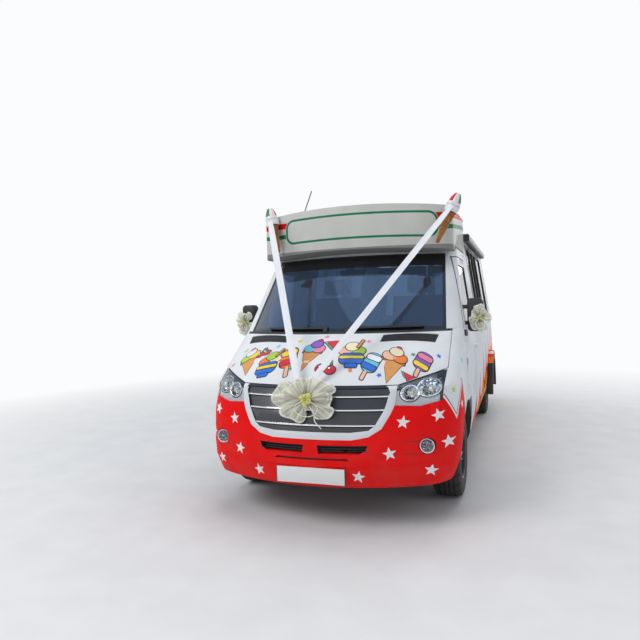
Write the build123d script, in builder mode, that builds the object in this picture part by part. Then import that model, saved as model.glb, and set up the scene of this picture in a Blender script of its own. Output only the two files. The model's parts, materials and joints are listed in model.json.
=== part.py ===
from build123d import *
import os
from math import atan2, cos, pi, radians, sin, tan

os.makedirs("parts", exist_ok=True)

# Millimetres. +Z is up, the front faces -Y, +X is the vehicle's left side.
# The origin lies on the ground under the middle of the whole vehicle.

# Axles and wheels
front_axle_y = -1940
wheelbase = 3665
rear_axle_y = front_axle_y + wheelbase
tyre_radius = 350
tyre_width = 235
tyre_shoulder = 26
rim_radius = 208
rim_wall = 12
track = 1710
wheel_x = track / 2
kingpin_x = 790
arch_radius = 432
arch_lining = 8

# Body skin
wall = 60
skin = 24
body_rear_y = 2890
rear_corner_radius = 84
sill_z = 420
bumper_bottom_z = 300
roof_step_y = -600
cab_roof_z = 2080
roof_plate = 42
body_top_z = 2405
joint_gap = 5
door_gap = 9

# Plan outlines of the skin at each height: half width, foremost point of the nose,
# and the end of the front arc, where the corner arc begins.
BODY_LEVELS = [
    # z, half_width, nose_y, arc_x, arc_y
    (bumper_bottom_z, 940, -2925, 760, -2730),
    (420, 985, -2962, 795, -2755),
    (560, 1003, -2966, 800, -2755),
    (760, 1010, -2940, 800, -2730),
    (985, 1005, -2885, 790, -2680),
    (1160, 1000, -2660, 810, -2410),
    (1370, 985, -2310, 870, -2025),
    (cab_roof_z, 885, -1610, 800, -1380),
    (2330, 850, -1365, 770, -1150),
    (2376, 822, -1350, 742, -1135),
    (body_top_z, 740, -1300, 660, -1090),
]

# Front view outlines
bonnet_edge_x = 903
bonnet_lip_z = 1010
bonnet_back_z = 1362
bonnet_shut_z = 1354
lamp_top_outer_z = 1086
lamp_inner_x = 598
lamp_bottom_z = 868
screen_bottom_z = 1371
seam = 0.3
screen_top_z = 2030
screen_bottom_x = 862
screen_top_x = 800

# Cab doors, side view
door_front_y = -1838
door_rear_y = -770
door_bottom_z = 470
door_top_z = 1990
door_waist_z = 1362
door_frame = 68

# Side windows of the selling body
window_bottom_z = 1390
window_top_z = 2186
serving_front_y = -232
serving_rear_y = 1180
rear_window_front_y = 1272
rear_window_rear_y = 2130
glass_thickness = 6

# Rear doors
rear_door_edge_x = 812
rear_door_bottom_z = 646
rear_door_top_z = 2196
rear_door_gap = 6

# Floor and chassis
floor_top_z = 640
floor_thickness = 40
cab_floor_front_y = -1480
rail_x = 405
rail_width = 62
rail_bottom_z = 470

HALF = 1400
LOW = -200
HIGH = 3000


def save(part, name):
    """Write one finished piece to its own STEP file."""
    part.label = name
    export_step(part, f"parts/{name}.step")


def plan_face(level, inset):
    """Draw the skin's plan outline at one height, moved inwards by inset."""
    z, half_width, nose_y, arc_x, arc_y = level
    turn = 2 * atan2(arc_y - nose_y, arc_x)
    side_y = arc_y + (half_width - arc_x) * tan((turn + pi / 2) / 2)
    x_side = half_width - inset
    x_arc = arc_x - inset * sin(turn)
    y_arc = arc_y + inset * cos(turn)
    y_rear = body_rear_y - inset
    radius = max(rear_corner_radius - inset, 16)
    y_corner = y_rear - radius
    with BuildSketch(Plane.XY.offset(z)) as outline:
        with BuildLine():
            ThreePointArc((-x_arc, y_arc), (0, nose_y + inset), (x_arc, y_arc))
            TangentArc((x_side, side_y), (x_arc, y_arc), tangent=(0, -1))
            Line((x_side, side_y), (x_side, y_corner))
            TangentArc((x_side, y_corner), (x_side - radius, y_rear), tangent=(0, 1))
            Line((x_side - radius, y_rear), (radius - x_side, y_rear))
            TangentArc((-x_side, y_corner), (radius - x_side, y_rear), tangent=(0, 1))
            Line((-x_side, y_corner), (-x_side, side_y))
            TangentArc((-x_side, side_y), (-x_arc, y_arc), tangent=(0, -1))
        make_face()
    return outline.sketch


def level_at(z):
    """The plan outline's sizes at any height, between two of its levels."""
    for low, high in zip(BODY_LEVELS, BODY_LEVELS[1:]):
        if low[0] <= z <= high[0]:
            share = (z - low[0]) / (high[0] - low[0])
            return tuple(a + (b - a) * share for a, b in zip(low, high))


def plan_core(z, inset, z_from, z_to):
    """An upright prism whose plan is the skin's outline at one height."""
    with BuildPart() as core:
        add(plan_face((z_from,) + level_at(z)[1:], inset))
        extrude(amount=z_to - z_from)
    return core.part


def hull(inset, lowest_z, highest_z):
    """The closed volume inside the skin between two of its levels."""
    levels = [level for level in BODY_LEVELS if lowest_z <= level[0] <= highest_z]
    with BuildPart() as volume:
        loft([plan_face(level, inset).face() for level in levels], ruled=True)
    return volume.part


def body_solid(inset, bottom_z, roof_inset):
    """The volume inside the skin, with its step from cab roof to body roof."""
    levels = [(bottom_z,) + BODY_LEVELS[0][1:]] + BODY_LEVELS[1:]
    with BuildPart() as volume:
        loft([plan_face(level, inset).face() for level in levels], ruled=True)
        with BuildSketch(Plane.YZ.offset(-HALF)):
            with BuildLine():
                Polyline(
                    (-HIGH - 500, HIGH),
                    (-HIGH - 500, cab_roof_z - roof_inset),
                    (roof_step_y + roof_inset, cab_roof_z - roof_inset),
                    (roof_step_y + roof_inset, body_top_z - roof_inset),
                    (HIGH + 500, body_top_z - roof_inset),
                    (HIGH + 500, HIGH),
                    close=True,
                )
            make_face()
        extrude(amount=2 * HALF, mode=Mode.SUBTRACT)
    return volume.part


def side_prism(points, x_from, x_to, grow=0):
    """A side view outline (y, z), carried from one x to another."""
    with BuildPart() as prism:
        with BuildSketch(Plane.YZ.offset(x_from)):
            with BuildLine():
                Polyline(*points, close=True)
            make_face()
            if grow:
                offset(amount=grow, kind=Kind.INTERSECTION)
        extrude(amount=x_to - x_from)
    return prism.part


def front_prism(points, y_back, y_front, grow=0, both_sides=True):
    """A front view outline (x, z), carried forward from y_back to y_front."""
    with BuildPart() as prism:
        with BuildSketch(Plane.XZ.offset(-y_back)):
            with BuildLine():
                Polyline(*points, close=True)
            make_face()
            if grow:
                offset(amount=grow, kind=Kind.INTERSECTION)
            if both_sides:
                mirror(about=Plane.YZ)
        extrude(amount=y_back - y_front)
    return prism.part


def wheel_arch(centre_y, radius, x_from, x_to):
    """A cylinder across the vehicle over one wheel."""
    with BuildPart() as arch:
        with BuildSketch(Plane.YZ.offset(x_from)):
            with Locations((centre_y, tyre_radius)):
                Circle(radius)
        extrude(amount=x_to - x_from)
    return arch.part


outer = body_solid(0, bumper_bottom_z, 0)
inner = body_solid(wall, bumper_bottom_z - 60, roof_plate)
behind_skin = body_solid(skin, bumper_bottom_z - 60, skin)
shell = outer - inner

# Outlines shared by the panels that meet there
front_reach = (-2100, -3200)

bonnet_outline = [
    (-lamp_inner_x, bonnet_lip_z),
    (lamp_inner_x, bonnet_lip_z),
    (bonnet_edge_x + 7, lamp_top_outer_z + 12),
    (bonnet_edge_x, bonnet_back_z),
    (-bonnet_edge_x, bonnet_back_z),
    (-bonnet_edge_x - 7, lamp_top_outer_z + 12),
]
lamp_outline = [
    (lamp_inner_x, bonnet_lip_z - 8),
    (bonnet_edge_x + 6, lamp_top_outer_z + 2),
    (bonnet_edge_x - 10, lamp_bottom_z + 24),
    (752, lamp_bottom_z - 6),
    (lamp_inner_x - 12, lamp_bottom_z + 4),
]
grille_half_outline = [
    # x, z down one side of the surround
    (597, bonnet_lip_z - joint_gap), (594, 960), (585, 878), (556, 812), (497, 714), (410, 662), (300, 642),
]
mouth_half_outline = [
    # x, z down one side of the opening
    (540, 992), (552, 962), (516, 846), (454, 738), (410, 706), (300, 694),
]


def both_halves(half_outline):
    """A closed outline from its right half, listed from the top down."""
    return half_outline + [(-x, z) for x, z in reversed(half_outline)]


grille_outline = both_halves(grille_half_outline)
grille_mouth = both_halves(mouth_half_outline)
wing_side = [
    (-2640, 893),
    (-2372, 700),
    (-2372, 200),
    (-1500, 200),
    (-1500, 704),
    (-1620, 856),
    (door_front_y, 906),
    (door_front_y, screen_bottom_z - seam),
    (-2640, screen_bottom_z - seam),
]
door_outline = [
    (-1494, door_bottom_z),
    (-1494, 700),
    (-1614, 850),
    (door_front_y, 900),
    (door_front_y, door_waist_z),
    (-1424, door_top_z),
    (door_rear_y, door_top_z),
    (door_rear_y, door_bottom_z),
]
door_window = [
    (-1560, door_waist_z + 12),
    (-1570, 1500),
    (-1384, door_top_z - door_frame),
    (door_rear_y - door_frame, door_top_z - door_frame),
    (door_rear_y - door_frame, door_waist_z + 12),
]
screen_outline = [
    (-screen_bottom_x, screen_bottom_z),
    (screen_bottom_x, screen_bottom_z),
    (screen_top_x, screen_top_z),
    (-screen_top_x, screen_top_z),
]
serving_window = [
    (serving_front_y, window_bottom_z),
    (serving_rear_y, window_bottom_z),
    (serving_rear_y, window_top_z),
    (serving_front_y, window_top_z),
]
rear_window = [
    (rear_window_front_y, window_bottom_z),
    (rear_window_rear_y, window_bottom_z),
    (rear_window_rear_y, window_top_z),
    (rear_window_front_y, window_top_z),
]

bonnet_prism = front_prism(bonnet_outline, -1900, -3200, both_sides=False)
bonnet_hole = front_prism(bonnet_outline, -1900, -3200, grow=joint_gap, both_sides=False)
lamp_prism = front_prism(lamp_outline, *front_reach)
lamp_hole = front_prism(lamp_outline, *front_reach, grow=2 * seam)
grille_prism = front_prism(grille_outline, *front_reach, both_sides=False)
grille_hole = front_prism(grille_outline, *front_reach, grow=2 * seam, both_sides=False)
wing_prism = side_prism(wing_side, -HALF, HALF)
wing_hole = side_prism(wing_side, -HALF, HALF, grow=2 * seam)
front_arch = wheel_arch(front_axle_y, arch_radius, -HALF, HALF)
rear_arch = wheel_arch(rear_axle_y, arch_radius, -HALF, HALF)

# Air vents let into the bonnet, with their corners in plan: x, y
vent_corners = [(392, -2388), (798, -2232), (816, -2122), (404, -2298)]
vent_depth = 14
vent_floor = 4
vent_rib_count = 5


def vent_prism(grow):
    """Both vents' outlines in plan, carried up through the bonnet."""
    with BuildPart() as prism:
        with BuildSketch(Plane.XY.offset(1180)):
            with BuildLine():
                Polyline(*vent_corners, close=True)
            make_face()
            if grow:
                offset(amount=grow, kind=Kind.INTERSECTION)
            mirror(about=Plane.YZ)
        extrude(amount=300)
    return prism.part


def vent_point(front_corner, rear_corner, share):
    """A point on a vent's short side, from its front to its rear corner."""
    front, rear = Vector(*vent_corners[front_corner]), Vector(*vent_corners[rear_corner])
    return front + (rear - front) * share


# Bonnet, hinged at its back edge
bonnet_hinge_y = -1970
bonnet_hinge_z = 1346
hinge_lug_x = 881
hinge_lug_width = 18
hinge_pin_radius = 6
hinge_boss = 13
pin_clearance = 0.3
with BuildPart() as bonnet:
    add(shell)
    add(bonnet_prism, mode=Mode.INTERSECT)
    add(plan_core(bonnet_shut_z, 0, 1250, 1450), mode=Mode.SUBTRACT)
    with BuildSketch(Plane.YZ.offset(hinge_lug_x)):
        with BuildLine():
            Polyline((-2092, 1286), (-2062, 1298), (bonnet_hinge_y - hinge_boss, bonnet_hinge_z),
                     (bonnet_hinge_y, bonnet_hinge_z + hinge_boss), (bonnet_hinge_y + hinge_boss, bonnet_hinge_z),
                     (bonnet_hinge_y, bonnet_hinge_z - hinge_boss), (-2070, 1262), close=True)
        make_face()
    extrude(amount=hinge_lug_width)
    mirror(about=Plane.YZ)
    with BuildSketch(Plane.YZ.offset(-HALF)):
        with Locations((bonnet_hinge_y, bonnet_hinge_z)):
            Circle(hinge_pin_radius + pin_clearance)
    extrude(amount=2 * HALF, mode=Mode.SUBTRACT)
    add(vent_prism(0) - hull(vent_depth, 1160, cab_roof_z), mode=Mode.SUBTRACT)
save(bonnet.part, "bonnet")

with BuildPart() as vent_ribs:
    add(hull(2, 1160, cab_roof_z) - hull(vent_depth - vent_floor + 1, 1160, cab_roof_z))
    with BuildSketch(Plane.XY.offset(1180)):
        for row in range(vent_rib_count):
            low, high = (row + 0.25) / vent_rib_count, (row + 0.7) / vent_rib_count
            with BuildLine():
                Polyline(vent_point(0, 3, low), vent_point(1, 2, low), vent_point(1, 2, high), vent_point(0, 3, high),
                         close=True)
            make_face()
        mirror(about=Plane.YZ)
    extrude(amount=300, mode=Mode.INTERSECT)
with BuildPart() as bonnet_vents:
    add(hull(vent_depth - vent_floor, 1160, cab_roof_z) - hull(vent_depth - seam, 1160, cab_roof_z))
    add(vent_prism(-1), mode=Mode.INTERSECT)
    add(vent_ribs.part & vent_prism(-1))
save(bonnet_vents.part, "bonnet_vents")

# Head lamps and fog lamps
fog_x = 795
fog_z = 587
fog_radius = 56


def fog_disc(radius, depth, front_y):
    with BuildPart() as disc:
        with BuildSketch(Plane.XZ.offset(-front_y)):
            with Locations((fog_x, fog_z), (-fog_x, fog_z)):
                Circle(radius)
        extrude(amount=-depth)
    return disc.part


lens_wall = 6
reflector_table = [
    # x, z, radius, front_y, depth
    (688, 950, 60, -2800, 104),
    (812, 972, 62, -2740, 106),
]
with BuildPart() as headlamps:
    add(shell)
    add(lamp_prism, mode=Mode.INTERSECT)
    add(hull(lens_wall, 760, 1370), mode=Mode.SUBTRACT)
    add(fog_disc(fog_radius, 90, -2752))
save(headlamps.part, "headlamps")

# Lamp housings with two reflector bowls in each
with BuildPart() as lamp_bowls:
    add(hull(lens_wall + seam, 760, 1370) - inner)
    add(lamp_prism, mode=Mode.INTERSECT)
    for x, z, radius, front_y, depth in reflector_table:
        with BuildSketch(Plane.XZ.offset(-front_y)):
            with Locations((x, z), (-x, z)):
                Circle(radius)
        extrude(amount=-depth, taper=14, mode=Mode.SUBTRACT)
save(lamp_bowls.part, "lamp_bowls")

# Grille: a frame that follows the skin, curved louvres with a bright bar below each, and a back plate
louvre_table = [
    # z of the louvre's lower and upper edge
    (939, 1004),
    (847, 921),
    (742, 829),
    (686, 724),
]
louvre_inset = 16
louvre_depth = 28
bar_inset = 7
bar_height = 9
intake = [(52, 604), (408, 604), (392, 570), (346, 543), (61, 543)]
back_plate_inset = wall - 16


def front_rows(rows):
    """Level slices across the nose between each pair of heights."""
    with BuildPart() as slices:
        with BuildSketch(Plane.YZ.offset(-HALF)):
            for low, high in rows:
                with Locations((-2800, low)):
                    Rectangle(900, high - low, align=(Align.CENTER, Align.MIN))
        extrude(amount=2 * HALF)
    return slices.part


mouth_prism = front_prism(grille_mouth, *front_reach, grow=6, both_sides=False)
bar_rows = [(low - bar_height, low) for low, high in louvre_table[:-1]]
with BuildPart() as louvres:
    add(hull(louvre_inset, 420, 1160) - hull(louvre_inset + louvre_depth, 420, 1160))
    add(mouth_prism, mode=Mode.INTERSECT)
    add(front_rows(louvre_table), mode=Mode.INTERSECT)
with BuildPart() as bright_bars:
    add(hull(bar_inset, 420, 1160) - hull(louvre_inset + louvre_depth, 420, 1160))
    add(mouth_prism, mode=Mode.INTERSECT)
    add(front_rows(bar_rows), mode=Mode.INTERSECT)
with BuildPart() as back_plate:
    add(hull(back_plate_inset, 420, 1160) - inner)
    add(mouth_prism, mode=Mode.INTERSECT)
with BuildPart() as grille:
    add(shell)
    add(grille_prism, mode=Mode.INTERSECT)
    add(front_prism(grille_mouth, *front_reach, both_sides=False), mode=Mode.SUBTRACT)
    add(louvres.part)
    add(bright_bars.part)
    add(back_plate.part)
save(grille.part, "grille")

# Front bumper with its lower intakes and fog lamp holes
slot_half_width = 283
slot_bottom_z = 497
slot_height = 16
slot_depth = 18
tow_socket_x = 250
tow_socket_z = 556
tow_bore_radius = 11
tow_opening_radius = 18
intake_bar_heights = (557, 573, 589)
intake_bar_height = 6
intake_bar_depth = 14
intake_rows = [(z, z + intake_bar_height) for z in intake_bar_heights]
with BuildPart() as intake_bars:
    add(hull(wall / 2, 420, 1160) - hull(wall / 2 + intake_bar_depth, 420, 1160))
    add(front_prism(intake, *front_reach, grow=6), mode=Mode.INTERSECT)
    add(front_rows(intake_rows), mode=Mode.INTERSECT)
    with BuildSketch(Plane.XZ.offset(2400)):
        with Locations((tow_socket_x, tow_socket_z)):
            Circle(tow_opening_radius)
    extrude(amount=800, mode=Mode.SUBTRACT)
with BuildPart() as front_bumper:
    add(shell)
    with BuildSketch(Plane.YZ.offset(-HALF)):
        with BuildLine():
            Polyline(
                (-3200, bumper_bottom_z), (-3200, bonnet_lip_z - joint_gap),
                (-2560, bonnet_lip_z - joint_gap), (-2375, 700), (-2375, bumper_bottom_z), close=True,
            )
        make_face()
    extrude(amount=2 * HALF, mode=Mode.INTERSECT)
    add(lamp_hole, mode=Mode.SUBTRACT)
    add(grille_hole, mode=Mode.SUBTRACT)
    add(wing_hole, mode=Mode.SUBTRACT)
    add(front_arch, mode=Mode.SUBTRACT)
    add(front_prism(intake, -2700, -3200), mode=Mode.SUBTRACT)
    add(fog_disc(fog_radius + 1, 560, -3000), mode=Mode.SUBTRACT)
    top_waste = front_prism([(-1200, lamp_bottom_z + 22), (1200, lamp_bottom_z + 22), (1200, 1200), (-1200, 1200)],
                            *front_reach, both_sides=False)
    add(top_waste, mode=Mode.SUBTRACT)
    lower_slot = front_prism([(0, slot_bottom_z), (slot_half_width, slot_bottom_z),
                              (slot_half_width - 24, slot_bottom_z + slot_height), (0, slot_bottom_z + slot_height)],
                             *front_reach)
    add(lower_slot - hull(slot_depth, 300, 760), mode=Mode.SUBTRACT)
    add(intake_bars.part)
save(front_bumper.part, "front_bumper")

# Front wings with their arch linings
lining_inner_x = 560
lining_cut_z = 432
door_hinge_x = 1012
door_hinge_y = door_front_y - 4
door_hinge_heights = (1060, 1300)
door_barrel_radius = 7
door_barrel_length = 50
rear_hinge_x = rear_door_edge_x + 2
rear_hinge_y = body_rear_y + 6
rear_hinge_heights = (780, 1400, 1960)
rear_barrel_radius = 5.5


def arch_linings(centre_y, x_inner, x_outer):
    """Half rings inside both arches of one axle."""
    with BuildPart() as linings:
        with BuildSketch(Plane.YZ.offset(x_inner)):
            with Locations((centre_y, tyre_radius)):
                Circle(arch_radius + arch_lining)
                Circle(arch_radius, mode=Mode.SUBTRACT)
            with Locations((centre_y, lining_cut_z)):
                Rectangle(3 * arch_radius, 1000, align=(Align.CENTER, Align.MAX), mode=Mode.SUBTRACT)
        extrude(amount=x_outer - x_inner)
        mirror(about=Plane.YZ)
    return linings.part


with BuildPart() as front_wings:
    add(shell)
    add(wing_prism, mode=Mode.INTERSECT)
    add(bonnet_hole, mode=Mode.SUBTRACT)
    add(lamp_hole, mode=Mode.SUBTRACT)
    add(front_arch, mode=Mode.SUBTRACT)
    add(side_prism(door_outline, -HALF, HALF, grow=joint_gap), mode=Mode.SUBTRACT)
    with BuildSketch(Plane.XY.offset(LOW)):
        with Locations((0, -2000)):
            Rectangle(2 * (lamp_inner_x + 290), 2400)
    extrude(amount=HIGH, mode=Mode.SUBTRACT)
    with BuildSketch(Plane.XY.offset(bonnet_back_z)):
        with Locations((0, -2000)):
            Rectangle(2 * (bonnet_edge_x + joint_gap), 2400)
    extrude(amount=400, mode=Mode.SUBTRACT)
    with BuildSketch(Plane.XY.offset(LOW)):
        with Locations((0, -2440)):
            Rectangle(2200, 156)
    extrude(amount=lining_cut_z - LOW + 60, mode=Mode.SUBTRACT)
    add(arch_linings(front_axle_y, lining_inner_x, 948))
    with BuildSketch(Plane.YZ.offset(hinge_lug_x - 2)):
        with Locations((bonnet_hinge_y, bonnet_hinge_z)):
            Circle(hinge_pin_radius)
    extrude(amount=bonnet_edge_x + 14 - hinge_lug_x)
    mirror(about=Plane.YZ)
    for z in door_hinge_heights:
        with Locations((door_hinge_x, door_hinge_y, z)):
            Cylinder(door_barrel_radius, door_barrel_length, align=(Align.CENTER, Align.CENTER, Align.MAX))
            Box(26, 30, door_barrel_length, align=(Align.MAX, Align.MAX, Align.MAX))
        with Locations((-door_hinge_x, door_hinge_y, z)):
            Cylinder(door_barrel_radius, door_barrel_length, align=(Align.CENTER, Align.CENTER, Align.MAX))
            Box(26, 30, door_barrel_length, align=(Align.MIN, Align.MAX, Align.MAX))
save(front_wings.part, "front_wings")

# Scuttle: the cowl strip below the windscreen, its tray and the bulkhead
bulkhead_y = -1868
cowl_depth = 104
cowl_gap = 9
tray_top_z = 1352
with BuildPart() as scuttle:
    add(hull(0, 1160, cab_roof_z) - hull(cowl_depth, 1160, cab_roof_z))
    add(plan_core(bonnet_shut_z, cowl_gap, 1200, 1500), mode=Mode.INTERSECT)
    with BuildSketch(Plane.XY.offset(1310)):
        with Locations((0, -2000)):
            Rectangle(2 * (hinge_lug_x - 8), 1400)
    extrude(amount=screen_bottom_z - seam - 1310, mode=Mode.INTERSECT)
with BuildPart() as scuttle_tray:
    add(hull(wall + 14, 420, cab_roof_z))
    with BuildSketch(Plane.YZ.offset(-HALF)):
        with BuildLine():
            Polyline(
                (-2600, tray_top_z), (bulkhead_y + 12, tray_top_z), (bulkhead_y + 12, floor_top_z + 1),
                (bulkhead_y, floor_top_z + 1), (bulkhead_y, tray_top_z - 14), (-2600, tray_top_z - 14), close=True,
            )
        make_face()
    extrude(amount=2 * HALF, mode=Mode.INTERSECT)
    add(wheel_arch(front_axle_y, arch_radius + arch_lining + 1, lining_inner_x - 1, HALF), mode=Mode.SUBTRACT)
    add(wheel_arch(front_axle_y, arch_radius + arch_lining + 1, -HALF, 1 - lining_inner_x), mode=Mode.SUBTRACT)
    with BuildSketch(Plane.XY.offset(LOW)):
        with Locations((0, -2600)):
            Rectangle(2400, 2 * (2600 + bulkhead_y) - 1)
    extrude(amount=1000 - LOW, mode=Mode.SUBTRACT)
with BuildPart() as scuttle_whole:
    add(scuttle.part)
    add(scuttle_tray.part)
save(scuttle_whole.part, "scuttle")

# Glass follows the skin, a little below its surface
glass_drop = 10
glass_shell = body_solid(glass_drop, bumper_bottom_z - 60, 14) - body_solid(
    glass_drop + glass_thickness + 2, bumper_bottom_z - 60, 20)
with BuildPart() as windscreen:
    add(glass_shell)
    add(front_prism(screen_outline, -1200, -3200, grow=-0.4, both_sides=False), mode=Mode.INTERSECT)
save(windscreen.part, "windscreen")

# Side panels from the windscreen pillars to the rear corner posts
SIDES = [("left", 1), ("right", -1)]
side_outline = [
    (-1499, sill_z), (-1499, 482), (-900, 482), (-900, screen_bottom_z),
    (-3200, screen_bottom_z), (-3200, 2036), (roof_step_y + roof_plate, 2036),
    (roof_step_y + roof_plate, 2205), (3200, 2205), (3200, sill_z),
]
screen_prism = front_prism(screen_outline, -1200, -3200, both_sides=False)
rear_door_hole = front_prism(
    [(0, rear_door_bottom_z - joint_gap), (rear_door_edge_x + joint_gap, rear_door_bottom_z - joint_gap),
     (rear_door_edge_x + joint_gap, 2400), (0, 2400)], 3000, 2700)
lamp_slot = front_prism([(rear_door_edge_x + 34, 860), (HALF, 860), (HALF, 1240), (rear_door_edge_x + 34, 1240)],
                        3000, 2740)
for side, sign in SIDES:
    with BuildPart() as side_panel:
        add(shell)
        add(side_prism(side_outline, 0, sign * HALF), mode=Mode.INTERSECT)
        add(screen_prism, mode=Mode.SUBTRACT)
        add(side_prism(door_outline, 0, sign * HALF, grow=door_gap), mode=Mode.SUBTRACT)
        add(rear_door_hole, mode=Mode.SUBTRACT)
        add(rear_arch, mode=Mode.SUBTRACT)
        add(lamp_slot, mode=Mode.SUBTRACT)
        add(side_prism(serving_window, 0, sign * HALF), mode=Mode.SUBTRACT)
        add(side_prism(rear_window, 0, sign * HALF), mode=Mode.SUBTRACT)
        with BuildSketch(Plane.XY.offset(LOW)):
            with Locations((0, 2900)):
                Rectangle(2 * (rear_door_edge_x + joint_gap), 400)
        extrude(amount=rear_door_bottom_z - LOW, mode=Mode.SUBTRACT)
        for z in rear_hinge_heights:
            with Locations((sign * rear_hinge_x, rear_hinge_y, z)):
                Cylinder(rear_barrel_radius, 60, align=(Align.CENTER, Align.CENTER, Align.MAX))
                Box(34, 12, 60, align=(Align.MIN if sign > 0 else Align.MAX, Align.MAX, Align.MAX))
    save(side_panel.part, f"side_panel_{side}")

with BuildPart() as tail_lamps:
    add(shell)
    add(front_prism([(rear_door_edge_x + 34.3, 860.3), (HALF, 860.3), (HALF, 1239.7), (rear_door_edge_x + 34.3, 1239.7)],
                    3000, 2740.3), mode=Mode.INTERSECT)
save(tail_lamps.part, "tail_lamps")

# Roof: the cab roof, the step up and the body roof in one moulding
with BuildPart() as roof_panel:
    add(shell)
    with BuildSketch(Plane.YZ.offset(-HALF)):
        with BuildLine():
            Polyline(
                (-3200, 2036), (roof_step_y + roof_plate, 2036), (roof_step_y + roof_plate, 2205),
                (3200, 2205), (3200, HIGH), (-3200, HIGH), close=True,
            )
        make_face()
    extrude(amount=2 * HALF, mode=Mode.INTERSECT)
save(roof_panel.part, "roof_panel")

# Cab doors with glass, mirror and the bow tied to the mirror
mirror_y = front_axle_y + 250
handle_inset = 118
handle_z = 1150
handle_length = 168
handle_height = 36
handle_reach = 22
waist_z, waist_half_width = BODY_LEVELS[6][:2]
cantrail_half_width = BODY_LEVELS[7][1]
for side, sign in SIDES:
    with BuildPart() as cab_door:
        add(shell)
        add(side_prism(door_outline, 0, sign * HALF), mode=Mode.INTERSECT)
        add(behind_skin - side_prism(door_outline, 0, sign * HALF, grow=-14), mode=Mode.SUBTRACT)
        add(side_prism(door_window, 0, sign * HALF), mode=Mode.SUBTRACT)
        with BuildSketch(Plane.YZ.offset(sign * (door_hinge_x - skin - 16))):
            with Locations((door_rear_y - handle_inset, handle_z)):
                RectangleRounded(handle_length, handle_height, handle_height / 2 - 1)
        extrude(amount=sign * (skin + 16 + handle_reach))
        for z in door_hinge_heights:
            with Locations((sign * door_hinge_x, door_hinge_y, z + pin_clearance)):
                Cylinder(door_barrel_radius, door_barrel_length, align=(Align.CENTER, Align.CENTER, Align.MIN))
                Box(26, 30, door_barrel_length, align=(Align.MAX if sign > 0 else Align.MIN, Align.MIN, Align.MIN))
    save(cab_door.part, f"cab_door_{side}")
    with BuildPart() as door_glass:
        add(glass_shell)
        add(side_prism(door_window, 0, sign * HALF, grow=-0.5), mode=Mode.INTERSECT)
    save(door_glass.part, f"cab_door_glass_{side}")
    with BuildPart() as mirror_unit:
        with BuildSketch(Plane.XZ.offset(-mirror_y)):
            with Locations((sign * 1066, 1470)):
                RectangleRounded(134, 284, 36)
        extrude(amount=-92)
        fillet(mirror_unit.edges().group_by(Axis.Y)[0], radius=24)
        with BuildSketch(Plane.YZ.offset(sign * 1040)):
            with Locations((mirror_y + 46, 1400), (mirror_y + 46, 1540)):
                RectangleRounded(46, 34, 12)
        extrude(amount=-sign * 110)
        split(bisect_by=Plane(origin=(sign * (waist_half_width + seam), 0, waist_z),
                              z_dir=(sign * (cab_roof_z - waist_z), 0, waist_half_width - cantrail_half_width)))
    save(mirror_unit.part, f"mirror_{side}")
    with BuildPart() as mirror_bow:
        with BuildSketch(Plane.XZ.offset(-mirror_y + 0.3)):
            with Locations((sign * 1105, 1430)):
                Ellipse(100, 128)
        extrude(amount=70)
        chamfer(mirror_bow.edges().group_by(Axis.Y)[0], length=26)
    save(mirror_bow.part, f"mirror_bow_{side}")

# Rear doors with their glass
for side, sign in SIDES:
    door_box = [
        (sign * rear_door_gap, rear_door_bottom_z), (sign * rear_door_edge_x, rear_door_bottom_z),
        (sign * rear_door_edge_x, rear_door_top_z), (sign * rear_door_gap, rear_door_top_z),
    ]
    pane_box = [
        (sign * 130, window_bottom_z), (sign * 690, window_bottom_z),
        (sign * 690, 2060), (sign * 130, 2060),
    ]
    with BuildPart() as rear_door:
        add(shell)
        add(front_prism(door_box, 3000, 2700, both_sides=False), mode=Mode.INTERSECT)
        add(front_prism(pane_box, 3000, 2700, both_sides=False), mode=Mode.SUBTRACT)
        for z in rear_hinge_heights:
            with Locations((sign * rear_hinge_x, rear_hinge_y, z + pin_clearance)):
                Cylinder(rear_barrel_radius, 60, align=(Align.CENTER, Align.CENTER, Align.MIN))
                Box(50, 12, 60, align=(Align.MAX if sign > 0 else Align.MIN, Align.MAX, Align.MIN))
    save(rear_door.part, f"rear_door_{side}")
    with BuildPart() as rear_glass:
        add(glass_shell)
        add(front_prism(pane_box, 3000, 2700, grow=-0.5, both_sides=False), mode=Mode.INTERSECT)
    save(rear_glass.part, f"rear_door_glass_{side}")

# Trim round the side windows, with upright bars in the serving window
trim_outer = 18
trim_inner = 14
trim_proud = 4
upright_width = 26
upright_shares = (1 / 3, 2 / 3)


def window_prisms(grow):
    """All side windows' outlines, carried across the vehicle."""
    with BuildPart() as prisms:
        with BuildSketch(Plane.YZ.offset(-HALF)):
            for window in (serving_window, rear_window):
                with BuildLine():
                    Polyline(*window, close=True)
                make_face()
            offset(amount=grow, kind=Kind.INTERSECTION)
        extrude(amount=2 * HALF)
    return prisms.part


with BuildPart() as trim_outlines:
    add(window_prisms(trim_outer) - window_prisms(-trim_inner))
    with BuildSketch(Plane.YZ.offset(-HALF)):
        for share in upright_shares:
            with Locations((serving_front_y + (serving_rear_y - serving_front_y) * share,
                            (window_bottom_z + window_top_z) / 2)):
                Rectangle(upright_width, window_top_z - window_bottom_z)
    extrude(amount=2 * HALF)
with BuildPart() as window_trim:
    add(body_solid(-trim_proud, bumper_bottom_z, -trim_proud) - body_solid(glass_drop - seam, bumper_bottom_z - 60, 14))
    add(trim_outlines.part, mode=Mode.INTERSECT)
    add(outer - window_prisms(-seam), mode=Mode.SUBTRACT)
save(window_trim.part, "window_trim")

# Side glass: one pane in each window
with BuildPart() as side_glass:
    add(glass_shell)
    add(window_prisms(-0.5), mode=Mode.INTERSECT)
save(side_glass.part, "side_glass")

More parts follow.
